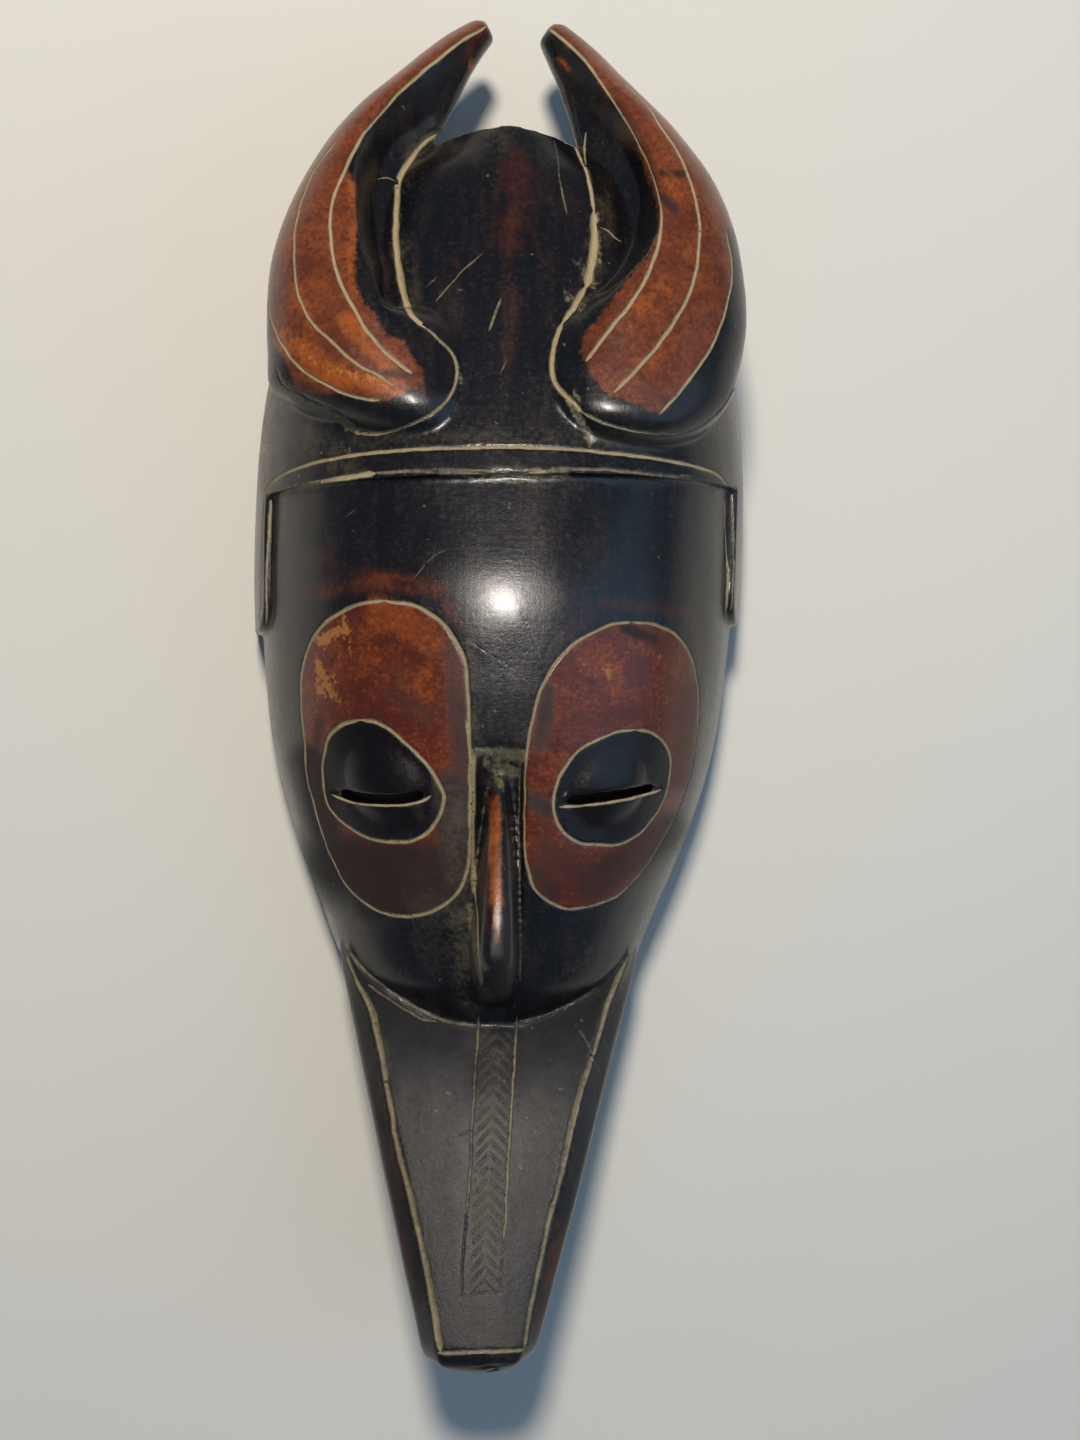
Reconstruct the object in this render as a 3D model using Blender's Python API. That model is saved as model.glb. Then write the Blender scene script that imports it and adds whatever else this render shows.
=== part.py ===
"""A horned face mask with a long snout, carved in the round from one block of wood.

The mask lies on its back rim on the plane Z = 0. +Y runs from the snout to the horn tips, +X is the
viewer's right, and +Z is the way the face looks. Every size is in metres.
"""

import math

import bmesh
import bpy
from mathutils import Matrix, Vector
from mathutils.bvhtree import BVHTree

# Driving dimensions
LENGTH = 0.420
SNOUT_END_Y = -LENGTH / 2
HORN_TIP_Y = LENGTH / 2
CROWN_Y = 0.1715
WALL = 0.0125

# The crown's end is cut back to both sides of a low point
CROWN_PEAK_X = -0.002
CROWN_SLANT_Y = 0.158
CROWN_SLANT = 0.17

# The face and crown: place along Y, half-width at the rim, height of the middle, squareness
HEAD = (
    (-0.107, 0.020, 0.0415, 2.4),
    (-0.103, 0.0313, 0.046, 2.4),
    (-0.097, 0.0418, 0.051, 2.4),
    (-0.090, 0.0475, 0.057, 2.4),
    (-0.075, 0.0538, 0.064, 2.2),
    (-0.050, 0.0635, 0.073, 2.15),
    (-0.025, 0.0710, 0.0797, 2.15),
    (0.000, 0.0750, 0.0853, 2.12),
    (0.025, 0.0768, 0.0884, 2.12),
    (0.050, 0.0772, 0.0853, 2.2),
    (0.075, 0.0765, 0.0805, 2.3),
    (0.100, 0.0735, 0.075, 2.2),
    (0.125, 0.0670, 0.069, 2.15),
    (0.150, 0.0545, 0.0605, 2.1),
    (0.1715, 0.0340, 0.0490, 2.0),
)
HEAD_RING_YS = (
    -0.107, -0.105, -0.101, -0.095, -0.088, -0.079, -0.067, -0.054, -0.040, -0.025, -0.009,
    0.008, 0.025, 0.042, 0.058, 0.074, 0.090, 0.106, 0.122, 0.137, 0.150, 0.161, 0.170,
)
HEAD_SIDES = 26
SPRING_SHARE = 0.15

# The coiffure stands proud of the face, down to the band and in a strip along each temple
COIFFURE_RISE = 0.0025
COIFFURE_RING_YS = (0.010, 0.030, 0.050, 0.0625, 0.075, 0.090, 0.106, 0.122, 0.137, 0.150, 0.161, CROWN_Y)
BAND_Y = 0.0600
BAND_TURN = math.radians(2.7)
BAND_GAP = 0.0070
BAND_HALF = 0.0765
STRIP_HEIGHT = 0.039
STRIP_END_Y = 0.0180
STRIP_END_RADIUS = 0.012
STRIP_END_SIDES = 5
OPENING_HALF = 0.120
OPENING_TOP = 0.150
OPENING_FOOT = (-0.020, -0.010)
BAND_CLOSING = 8

# Each horn, from the end of its bulb to its tip: X, Y, half-width, height of its middle, rise to its
# crest, depth below the middle, then two places across it from -1 outside to 1 inside: the crest and
# the foot of the inner wall, which reaches past 1 where the bulb spreads over the crown
LEFT_HORN = (
    (-0.0250, 0.0670, 0.0240, 0.0630, 0.0250, 0.022, 0.28, 1.28),
    (-0.0435, 0.0945, 0.0284, 0.0600, 0.0250, 0.022, 0.28, 1.28),
    (-0.0499, 0.1070, 0.0240, 0.0575, 0.0255, 0.022, 0.48, 0.59),
    (-0.0534, 0.1227, 0.0196, 0.0545, 0.0245, 0.020, 0.52, 0.76),
    (-0.0515, 0.1395, 0.0168, 0.0505, 0.0225, 0.018, 0.27, 0.58),
    (-0.0474, 0.1544, 0.0142, 0.0460, 0.0200, 0.016, 0.00, 0.43),
    (-0.0410, 0.1670, 0.0121, 0.0420, 0.0175, 0.014, -0.25, 0.35),
    (-0.0312, 0.1800, 0.0110, 0.0365, 0.0145, 0.012, -0.34, 0.60),
    (-0.0190, 0.1980, 0.0070, 0.0310, 0.0105, 0.009, 0.05, 0.97),
    (-0.0103, 0.2080, 0.0044, 0.0275, 0.0070, 0.007, 0.30, 0.97),
)
RIGHT_HORN = (
    (0.0350, 0.0680, 0.0287, 0.0630, 0.0250, 0.022, 0.40, 1.38),
    (0.0400, 0.0940, 0.0287, 0.0600, 0.0250, 0.022, 0.40, 1.38),
    (0.0459, 0.1131, 0.0268, 0.0565, 0.0255, 0.022, 0.56, 0.80),
    (0.0475, 0.1306, 0.0229, 0.0530, 0.0240, 0.020, 0.28, 0.56),
    (0.0450, 0.1457, 0.0202, 0.0495, 0.0220, 0.018, 0.06, 0.33),
    (0.0397, 0.1588, 0.0172, 0.0455, 0.0200, 0.016, -0.12, 0.16),
    (0.0331, 0.1720, 0.0140, 0.0405, 0.0175, 0.014, -0.20, 0.25),
    (0.0260, 0.1850, 0.0104, 0.0360, 0.0145, 0.012, -0.12, 0.60),
    (0.0188, 0.1975, 0.0075, 0.0310, 0.0105, 0.009, 0.05, 0.97),
    (0.0117, 0.2076, 0.0048, 0.0275, 0.0070, 0.007, 0.30, 0.97),
)
BULB_CREST = 0.50
SECTION_TURN = 1.8
WALL_REACH = 0.04
BULB_PLACES = (0.002, 0.008, 0.018, 0.034, 0.056, 0.082)
HORN_START = 0.111
TIP_LENGTH = 0.0022
TIP_CLOSING = 0.55
HORN_RINGS = 22
OUTER_SIDES = 7
WALL_SIDES = 2
UNDER_SIDES = 7
WALL_FOOT = 0.30
WALL_STEEPNESS = 1.15
SHELF_FALL = 0.6

# The engraved lines along each horn in plan, from the tip down to the bulb
LEFT_HORN_LINES = (
    ((-0.0085, 0.2040), (-0.0210, 0.1930), (-0.0425, 0.1730), (-0.0530, 0.1440), (-0.0525, 0.1210),
     (-0.0430, 0.1015), (-0.0300, 0.0900)),
    ((-0.0465, 0.1640), (-0.0600, 0.1505), (-0.0648, 0.1300), (-0.0620, 0.1100), (-0.0520, 0.0960),
     (-0.0355, 0.0865)),
    ((-0.0725, 0.1105), (-0.0665, 0.0950), (-0.0545, 0.0850), (-0.0375, 0.0808)),
)
RIGHT_HORN_LINES = (
    ((0.0105, 0.2055), (0.0190, 0.1965), (0.0280, 0.1840), (0.0405, 0.1575), (0.0435, 0.1400),
     (0.0385, 0.1190), (0.0220, 0.0940)),
    ((0.0340, 0.1895), (0.0490, 0.1675), (0.0555, 0.1415), (0.0520, 0.1160), (0.0300, 0.0850)),
    ((0.0670, 0.1415), (0.0670, 0.1240), (0.0600, 0.1025), (0.0440, 0.0800)),
)
# The valley between each horn and the crown, in plan, from the top down and round under the bulb
LEFT_VALLEY = (
    (-0.0215, 0.1700), (-0.0300, 0.1655), (-0.0345, 0.1550), (-0.0348, 0.1350), (-0.0315, 0.1130),
    (-0.0240, 0.1040), (-0.0160, 0.0955), (-0.0150, 0.0890), (-0.0220, 0.0785), (-0.0330, 0.0735),
    (-0.0450, 0.0720),
)
RIGHT_VALLEY = (
    (0.0190, 0.1700), (0.0220, 0.1610), (0.0250, 0.1450), (0.0245, 0.1300), (0.0205, 0.1145),
    (0.0140, 0.1040), (0.0128, 0.0940), (0.0215, 0.0840), (0.0320, 0.0765), (0.0440, 0.0745),
    (0.0560, 0.0785), (0.0660, 0.0860),
)

# The snout: place along Y, half-width, half-width of its flat panel, height of the panel,
# fall from the panel to the edge, height of its underside
SNOUT = (
    (-0.200, 0.0185, 0.0130, 0.0615, 0.008, 0.032),
    (-0.180, 0.0238, 0.0163, 0.0580, 0.008, 0.027),
    (-0.160, 0.0290, 0.0210, 0.0540, 0.008, 0.021),
    (-0.140, 0.0340, 0.0262, 0.0500, 0.008, 0.015),
    (-0.120, 0.0390, 0.0314, 0.0455, 0.008, 0.009),
    (-0.100, 0.0438, 0.0372, 0.0410, 0.007, 0.003),
    (-0.086, 0.0470, 0.0430, 0.0380, 0.007, -0.001),
    (-0.070, 0.0480, 0.0450, 0.0345, 0.007, -0.003),
)
# The rounded end of the snout: place along Y, share of the width, fall of the panel
SNOUT_TIP = (
    (-0.2045, 0.930, 0.0020),
    (-0.2065, 0.870, 0.0048),
    (-0.2078, 0.720, 0.0075),
    (-0.2091, 0.430, 0.0110),
    (SNOUT_END_Y, 0.100, 0.0150),
)
SNOUT_SKEW = 0.034
SNOUT_FALLS = (0.5, 0.3, 0.2)
SNOUT_WAIST = 0.86
SNOUT_FOOT_WAIST = 0.80
SNOUT_EDGE_INSET = 0.97
SNOUT_EDGE_ROUND = 0.0012
SNOUT_UNDER_ROUND = 0.002
PANEL_TOP_Y = -0.0890
PANEL_END_Y = -0.2015
PANEL_CROWN = 0.0012

# The nose: place along Y, half-width, height of its ridge
NOSE = (
    (-0.0255, 0.0022, 0.0750),
    (-0.0310, 0.0031, 0.0785),
    (-0.0365, 0.0037, 0.0803),
    (-0.0450, 0.0045, 0.0832),
    (-0.0620, 0.0056, 0.0876),
    (-0.0760, 0.0062, 0.0895),
    (-0.0820, 0.0062, 0.0880),
    (-0.0900, 0.0058, 0.0740),
    (-0.1010, 0.0050, 0.0440),
)
NOSE_X = 0.0008
NOSE_ROOT_Z = 0.030
# Half of the nose's section: share of the half-width, share of the height, and drop from there
NOSE_SECTION = ((1.6, 0.0, 0.0), (1.0, 0.80, 0.0), (0.72, 1.0, 0.0030), (0.32, 1.0, 0.0006))

# The face is cut down on both sides of the nose, from a notch at its root: place along Y,
# half-width, and depth below the middle of the face
NOSE_CHANNEL = (
    (-0.1060, 0.0060, 0.0000),
    (-0.0950, 0.0078, 0.0035),
    (-0.0600, 0.0082, 0.0042),
    (-0.0270, 0.0080, 0.0045),
    (-0.0180, 0.0076, 0.0000),
)
CHANNEL_FLOOR = 0.62
CHANNEL_CLEAR = 0.010

# The eyes: middle of each, its half sizes, how far the lid swells, and the slit through it
EYES = (
    {"x": -0.0343, "y": -0.0310, "across": 0.0182, "along": 0.0168, "lean": -0.25},
    {"x": 0.0343, "y": -0.0303, "across": 0.0173, "along": 0.0160, "lean": 0.26},
)
LID_SWELL = 0.0022
LID_INSET = 0.97
LID_DEPTH = 4 * LID_SWELL
LID_SIDES = (18, 8)
SLIT_LENGTH = 0.0313
SLIT_WIDTH = 0.0028
SLIT_DROP = 0.0035
SLIT_SAG = 0.0012
SLIT_POINT = 1.3
SLIT_SIDES = 12
SLIT_REACH = (0.020, 0.100)

# The stained patches round the eyes: middle, half sizes, lean and how square the outline is
PATCHES = (
    {"x": -0.0335, "y": -0.0237, "across": 0.0256, "along": 0.0470, "lean": -0.075},
    {"x": 0.0340, "y": -0.0242, "across": 0.0252, "along": 0.0433, "lean": 0.080},
)
PATCH_SQUARENESS = 2.7

# Engraved lines are V cuts this deep
FINE_CUT = 0.0008
CUT = 0.0010
DEEP_CUT = 0.0015

# The U where the face ends on the snout: half-width, its ends and its lowest place
CHIN_HALF = 0.0445
CHIN_TOP_Y = -0.0840
CHIN_FOOT_Y = -0.1062

# The chevron band down the snout
CHEVRONS = 19
CHEVRON_FIRST_Y = -0.1095
CHEVRON_PITCH = 0.0039
CHEVRON_POINT = 0.0040
CHEVRON_HALF = 0.0058
CHEVRON_INSET = 0.86
FOOT_OVERHANG = 1.1
CHEVRON_TOP = (0.0033, -0.1085)
CHEVRON_FOOT = (0.0008, -0.1835)

# The scooped back
HOLLOW_Y = (-0.078, 0.150)
HOLLOW_RINGS = 15
HOLLOW_END = 0.03
HOLLOW_FULLNESS = 0.65
HOLLOW_LIP = 0.12
HOLLOW_SIDES = 18
BELOW_RIM = 0.006
BELOW_BLOCK = (0.15, 0.30, 0.036)
SKY = 0.200


def between(stations, at):
    """The values at one place along the stations, on a smooth curve through them."""
    places = [station[0] for station in stations]
    if at <= places[0]:
        return stations[0][1:]
    if at >= places[-1]:
        return stations[-1][1:]
    after = next(i for i, place in enumerate(places) if place > at)
    before = after - 1
    span = places[after] - places[before]
    share = (at - places[before]) / span
    values = []
    for column in range(1, len(stations[0])):
        ends = [stations[i][column] for i in (before, after)]
        slopes = [slope(stations, i, column) * span for i in (before, after)]
        values.append(hermite(share, ends, slopes))
    return tuple(values)


def slope(stations, i, column):
    """How fast one value changes at a station, from the stations on both sides."""
    low = max(i - 1, 0)
    high = min(i + 1, len(stations) - 1)
    return (stations[high][column] - stations[low][column]) / (stations[high][0] - stations[low][0])


def hermite(share, ends, slopes):
    """A cubic from one end to the other that leaves and arrives with the given slopes."""
    square, cube = share * share, share ** 3
    return (
        (2 * cube - 3 * square + 1) * ends[0]
        + (cube - 2 * square + share) * slopes[0]
        + (3 * square - 2 * cube) * ends[1]
        + (cube - square) * slopes[1]
    )


def arch(half_width, height, squareness, sides, below):
    """Half a rounded section, from +X over to -X, as (x, z) pairs. Straight sides carry it below Z = 0."""
    foot = below * SPRING_SHARE
    points = []
    for i in range(sides + 1):
        angle = math.pi * i / sides
        across = math.copysign(abs(math.cos(angle)) ** (2 / squareness), math.cos(angle))
        upwards = abs(math.sin(angle)) ** (2 / squareness)
        points.append((half_width * across, foot + (height - foot) * upwards))
    return points + [(-half_width, -below), (half_width, -below)]


def material(name, colour, roughness):
    made = bpy.data.materials.new(name)
    made.use_nodes = True
    made.diffuse_color = (*colour, 1)
    shader = made.node_tree.nodes["Principled BSDF"]
    shader.inputs["Base Color"].default_value = (*colour, 1)
    shader.inputs["Roughness"].default_value = roughness
    shader.inputs["Metallic"].default_value = 0
    return made


def collection(name):
    made = bpy.data.collections.new(name)
    bpy.context.scene.collection.children.link(made)
    return made


def place(mesh, name, home):
    """An object of this mesh, in a collection. Outside the mask's own it is a hidden cutter or block."""
    made = bpy.data.objects.new(name, mesh)
    home.objects.link(made)
    if home.name != "horned_mask":
        made.hide_render = True
        made.display_type = "WIRE"
    return made


def loft(name, rings, home):
    """A closed solid through rings of points, all of one count, with flat ends."""
    shape = bmesh.new()
    rows = [[shape.verts.new(point) for point in ring] for ring in rings]
    count = len(rows[0])
    for low, high in zip(rows, rows[1:]):
        for i in range(count):
            j = (i + 1) % count
            shape.faces.new((low[i], low[j], high[j], high[i]))
    shape.faces.new(rows[0])
    shape.faces.new(rows[-1])
    bmesh.ops.recalc_face_normals(shape, faces=shape.faces)
    mesh = bpy.data.meshes.new(name)
    shape.to_mesh(mesh)
    shape.free()
    return place(mesh, name, home)


def head_ring(y, rise=0.0):
    """One section of the head. Near the crown's end it bends back to both sides of the low point."""
    half_width, height, squareness = between(HEAD, y)
    section = arch(half_width + rise, height + rise, squareness, HEAD_SIDES, BELOW_RIM + rise)
    bend = CROWN_SLANT * max(0.0, (y - CROWN_SLANT_Y) / (CROWN_Y - CROWN_SLANT_Y))
    return [(x, y - bend * abs(x - CROWN_PEAK_X), z) for x, z in section]


def head(home):
    return loft("face_and_crown", [head_ring(y) for y in HEAD_RING_YS], home)


def coiffure(home):
    """The raised layer of the hair, from which the opening for the face is then cut."""
    return loft("coiffure", [head_ring(y, COIFFURE_RISE) for y in COIFFURE_RING_YS], home)


def face_opening(home):
    """What the coiffure leaves free: all below the band, down to a strip along each temple."""
    foot_y, foot_z = OPENING_FOOT
    outline = [(BAND_Y, OPENING_TOP), (BAND_Y, STRIP_HEIGHT)]
    for step in range(STRIP_END_SIDES + 1):
        angle = math.pi / 2 * step / STRIP_END_SIDES
        outline.append((
            STRIP_END_Y + STRIP_END_RADIUS * (1 - math.sin(angle)),
            STRIP_HEIGHT - STRIP_END_RADIUS * (1 - math.cos(angle)),
        ))
    outline += [(STRIP_END_Y, foot_z), (foot_y, foot_z), (foot_y, OPENING_TOP)]
    rings = [[(x, y, z) for y, z in outline] for x in (-OPENING_HALF, OPENING_HALF)]
    opening = loft("face_opening", rings, home)
    about = Vector((0, BAND_Y, 0))
    opening.data.transform(
        Matrix.Translation(about) @ Matrix.Rotation(BAND_TURN, 4, "Z") @ Matrix.Translation(-about)
    )
    return opening


def horn_station(stations, at):
    """Everything about a horn at a place from 0, the end of its bulb, to 1, its tip."""
    numbered = [(float(i), *station) for i, station in enumerate(stations)]
    return between(numbered, at * (len(stations) - 1))


def horn_frame(stations, at):
    """The middle of a horn and the direction across it towards the inside, straight across at the bulb."""
    step = 0.01
    here = horn_station(stations, at)
    back = horn_station(stations, max(at - step, 0))
    ahead = horn_station(stations, min(at + step, 1))
    along = Vector((ahead[0] - back[0], ahead[1] - back[1], 0)).normalized()
    inwards = -1 if stations[0][0] > 0 else 1
    turned = min(at * (len(stations) - 1) / SECTION_TURN, 1.0)
    across = Vector((along.y, -along.x, 0)) * turned + Vector((1 - turned, 0, 0))
    return Vector((here[0], here[1], here[3])), across.normalized() * inwards


def horn_rise(across, ridge, foot, reach):
    """Height of the section, from 0 to 1: a round outer side, a steep inner wall and its foot."""
    if across <= ridge:
        return math.sqrt(max(0.0, 1 - ((ridge - across) / (1 + ridge)) ** 2))
    if across <= foot:
        return 1 - (1 - WALL_FOOT) * ((across - ridge) / (foot - ridge)) ** WALL_STEEPNESS
    return WALL_FOOT * max(0.0, 1 - (across - foot) / (reach - foot)) ** SHELF_FALL


def bulb_share(stations, at, length):
    """How full the horn is: it rounds off over a length, in stations, towards the end of its bulb."""
    along = min(at * (len(stations) - 1) / length, 1.0)
    return math.sqrt(max(0.0, 1 - (1 - along) ** 2))


def horn_ring(stations, at):
    """One section of a horn: outer side up to the crest, wall down to its foot, then underneath."""
    middle, across = horn_frame(stations, at)
    _, _, half_width, _, rise, depth, crest, foot = horn_station(stations, at)
    full = bulb_share(stations, at, 1.0)
    tall = bulb_share(stations, at, BULB_CREST)
    reach = max(1.0, foot + WALL_REACH)
    outer = [crest - (1 + crest) * math.cos(math.pi / 2 * i / OUTER_SIDES) for i in range(OUTER_SIDES + 1)]
    wall = [crest + (foot - crest) * i / WALL_SIDES for i in range(1, WALL_SIDES + 1)]
    shelf = [foot + (reach - foot) * share for share in (0.5, 1.0)]
    section = [(spot, rise * horn_rise(spot, crest, foot, reach)) for spot in outer + wall + shelf]
    for i in range(1, UNDER_SIDES):
        angle = math.pi * i / UNDER_SIDES
        spot = (reach - 1 + (reach + 1) * math.cos(angle)) / 2
        section.append((spot, -depth * math.sin(angle)))
    return [
        middle + across * half_width * full * spot + Vector((0, 0, height * tall))
        for spot, height in section
    ]


def horn_places():
    """Where a horn's rings stand, closer together on the bulb."""
    count = HORN_RINGS - len(BULB_PLACES)
    return list(BULB_PLACES) + [HORN_START + (1 - HORN_START) * i / (count - 1) for i in range(count)]


def horn(name, stations, home):
    rings = [horn_ring(stations, at) for at in horn_places()]
    end = rings[-1]
    middle = sum(end, Vector()) / len(end)
    rings.append([middle.lerp(point, TIP_CLOSING) + Vector((0, TIP_LENGTH, 0)) for point in end])
    for point in (point for ring in rings for point in ring):
        point.y = min(point.y, HORN_TIP_Y)
    return loft(name, rings, home)


def snout_ring(y, scale=1.0, fall=0.0):
    half_width, panel, top, edge_fall, under = between(SNOUT, y)
    half_width, panel = half_width * scale, panel * scale
    panel_fall, more_fall, under_rise = (fall * share for share in SNOUT_FALLS)
    top = top - panel_fall
    edge = top - edge_fall - more_fall
    half = [
        (0.0, top + PANEL_CROWN),
        (panel * 0.5, top + PANEL_CROWN * 0.75),
        (panel, top),
        (half_width * SNOUT_EDGE_INSET, edge + SNOUT_EDGE_ROUND),
        (half_width, edge - SNOUT_EDGE_ROUND),
        (half_width * (1 + SNOUT_WAIST) / 2, (edge + under) / 2),
        (half_width * SNOUT_WAIST, under + SNOUT_UNDER_ROUND),
        (half_width * SNOUT_FOOT_WAIST, under + under_rise),
    ]
    mirrored = [(-x, z) for x, z in reversed(half[1:])]
    skew = SNOUT_SKEW if fall else 0.0
    return [(x, max(y + skew * x, SNOUT_END_Y), z) for x, z in half + mirrored]


def snout(home):
    rings = [snout_ring(y, scale, fall) for y, scale, fall in reversed(SNOUT_TIP)]
    rings += [snout_ring(station[0]) for station in SNOUT]
    return loft("snout", rings, home)


def nose(home):
    """A thin straight ridge that stands further out of the face as it comes down."""
    rings = []
    for y, half_width, ridge in reversed(NOSE):
        side = [
            (half_width * out, NOSE_ROOT_Z + (ridge - NOSE_ROOT_Z) * up - drop) for out, up, drop in NOSE_SECTION
        ]
        section = [(-x, z) for x, z in side] + list(reversed(side))
        rings.append([(NOSE_X + x, y, z) for x, z in section])
    return loft("nose", rings, home)


def nose_channel(home):
    """The hollow cut beside the nose, deepest under the notch at its root."""
    rings = []
    for y, half_width, depth in NOSE_CHANNEL:
        surface_z = between(HEAD, y)[1]
        floor = surface_z - depth
        rings.append([
            (NOSE_X + half_width * x, y, z) for x, z in (
                (-1.0, surface_z), (-CHANNEL_FLOOR, floor), (CHANNEL_FLOOR, floor), (1.0, surface_z),
                (1.0, surface_z + CHANNEL_CLEAR), (-1.0, surface_z + CHANNEL_CLEAR),
            )
        ])
    return loft("nose_channel", rings, home)


def face_height(x, y):
    """Height of the face's surface over a place in plan."""
    half_width, height, squareness = between(HEAD, y)
    inside = max(0.0, 1 - (abs(x) / half_width) ** squareness)
    return height * inside ** (1 / squareness)


def face_normal(x, y):
    step = 0.001
    rise_x = (face_height(x + step, y) - face_height(x - step, y)) / (2 * step)
    rise_y = (face_height(x, y + step) - face_height(x, y - step)) / (2 * step)
    return Vector((-rise_x, -rise_y, 1)).normalized()


def on_face(x, y):
    return Vector((x, y, face_height(x, y)))


def lid(name, eye, home):
    """The low swelling of an eyelid, a flattened ball set into the face."""
    shape = bmesh.new()
    segments, ring_count = LID_SIDES
    bmesh.ops.create_uvsphere(shape, u_segments=segments, v_segments=ring_count, radius=1)
    size = Matrix.Diagonal((eye["across"] * LID_INSET, eye["along"] * LID_INSET, LID_DEPTH, 1))
    turn = face_normal(eye["x"], eye["y"]).to_track_quat("Z", "Y").to_matrix().to_4x4()
    seat = on_face(eye["x"], eye["y"]) - face_normal(eye["x"], eye["y"]) * (LID_DEPTH - LID_SWELL)
    shape.transform(Matrix.Translation(seat) @ turn @ size)
    mesh = bpy.data.meshes.new(name)
    shape.to_mesh(mesh)
    shape.free()
    return place(mesh, name, home)


def slit(name, eye, home):
    """The opening of an eye, pointed at both ends, cut straight through the wall."""
    outline = []
    for i in range(SLIT_SIDES):
        angle = 2 * math.pi * i / SLIT_SIDES
        across = math.cos(angle)
        width = SLIT_WIDTH / 2 * math.copysign(abs(math.sin(angle)) ** SLIT_POINT, math.sin(angle))
        sag = -SLIT_SAG * (1 - across ** 2)
        outline.append((eye["x"] + SLIT_LENGTH / 2 * across, eye["y"] - SLIT_DROP + width + sag))
    rings = [[(x, y, z) for x, y in outline] for z in SLIT_REACH]
    return loft(name, rings, home)


def hollow(home):
    """The scooped back: the head's own form, smaller by the wall, open at the rim."""
    middle = sum(HOLLOW_Y) / 2
    half_length = (HOLLOW_Y[1] - HOLLOW_Y[0]) / 2
    rings = []
    for i in range(HOLLOW_RINGS):
        angle = math.pi * (HOLLOW_END + (1 - 2 * HOLLOW_END) * i / (HOLLOW_RINGS - 1))
        y = middle - half_length * math.cos(angle)
        half_width, height, squareness = between(HEAD, y)
        full = math.sin(angle) ** HOLLOW_FULLNESS
        section = arch(
            (half_width - WALL) * full,
            (height - WALL) * (HOLLOW_LIP + full * (1 - HOLLOW_LIP)),
            squareness,
            HOLLOW_SIDES,
            BELOW_RIM * 3,
        )
        rings.append([(x, y, z) for x, z in section])
    return loft("hollow", rings, home)


def floor_block(home):
    """All that lies below the back rim, which is then cut off flat."""
    half_x, half_y, depth = BELOW_BLOCK
    corners = [(-half_x, -half_y), (half_x, -half_y), (half_x, half_y), (-half_x, half_y)]
    rings = [[(x, y, z) for x, y in corners] for z in (-depth, 0.0)]
    return loft("below_the_rim", rings, home)


def ring_outline(shape, squareness, count):
    """A closed outline in plan round a middle, leaning a little."""
    points = []
    for i in range(count):
        angle = 2 * math.pi * i / count
        across = math.copysign(abs(math.cos(angle)) ** (2 / squareness), math.cos(angle))
        along = math.copysign(abs(math.sin(angle)) ** (2 / squareness), math.sin(angle))
        x = shape["x"] + shape["across"] * across + shape["along"] * along * shape["lean"]
        points.append((x, shape["y"] + shape["along"] * along))
    return points


def smooth_line(points, count):
    """A smooth line through a few points in plan, at even steps along it."""
    reach = [0.0]
    for a, b in zip(points, points[1:]):
        reach.append(reach[-1] + math.dist(a, b))
    stations = [(place, *point) for place, point in zip(reach, points)]
    return [between(stations, reach[-1] * i / count) for i in range(count + 1)]


def chin_outline(count):
    """The U where the face ends on the snout."""
    points = []
    for i in range(count + 1):
        across = -1 + 2 * i / count
        points.append((CHIN_HALF * across, CHIN_FOOT_Y + (CHIN_TOP_Y - CHIN_FOOT_Y) * across * across))
    return points


def band_outline(count):
    """The line across the forehead above the coiffure's edge, which it meets at both temples."""
    points = []
    for i in range(count + 1):
        across = -1 + 2 * i / count
        x = BAND_HALF * across
        offset = BAND_GAP * (1 - across ** BAND_CLOSING)
        points.append((x, BAND_Y + x * math.tan(BAND_TURN) + offset))
    return points


def snout_edge(side, count):
    """The line where the snout's panel turns down to its border."""
    points = []
    for i in range(count + 1):
        y = PANEL_TOP_Y + (PANEL_END_Y - PANEL_TOP_Y) * i / count
        points.append((side * between(SNOUT, y)[1], y))
    return points


def along_chevrons(share, across):
    """A place on the chevron band, from its top to its foot and from its left to its right."""
    top, foot = Vector(CHEVRON_TOP), Vector(CHEVRON_FOOT)
    spot = top.lerp(foot, share)
    return (spot.x + CHEVRON_HALF * across, spot.y)


def chevron(i):
    length = CHEVRON_TOP[1] - CHEVRON_FOOT[1]
    peak = (CHEVRON_TOP[1] - CHEVRON_FIRST_Y + i * CHEVRON_PITCH) / length
    arm = peak + CHEVRON_POINT / length
    return [
        along_chevrons(arm, -CHEVRON_INSET), along_chevrons(peak, 0), along_chevrons(arm, CHEVRON_INSET)
    ]


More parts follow.
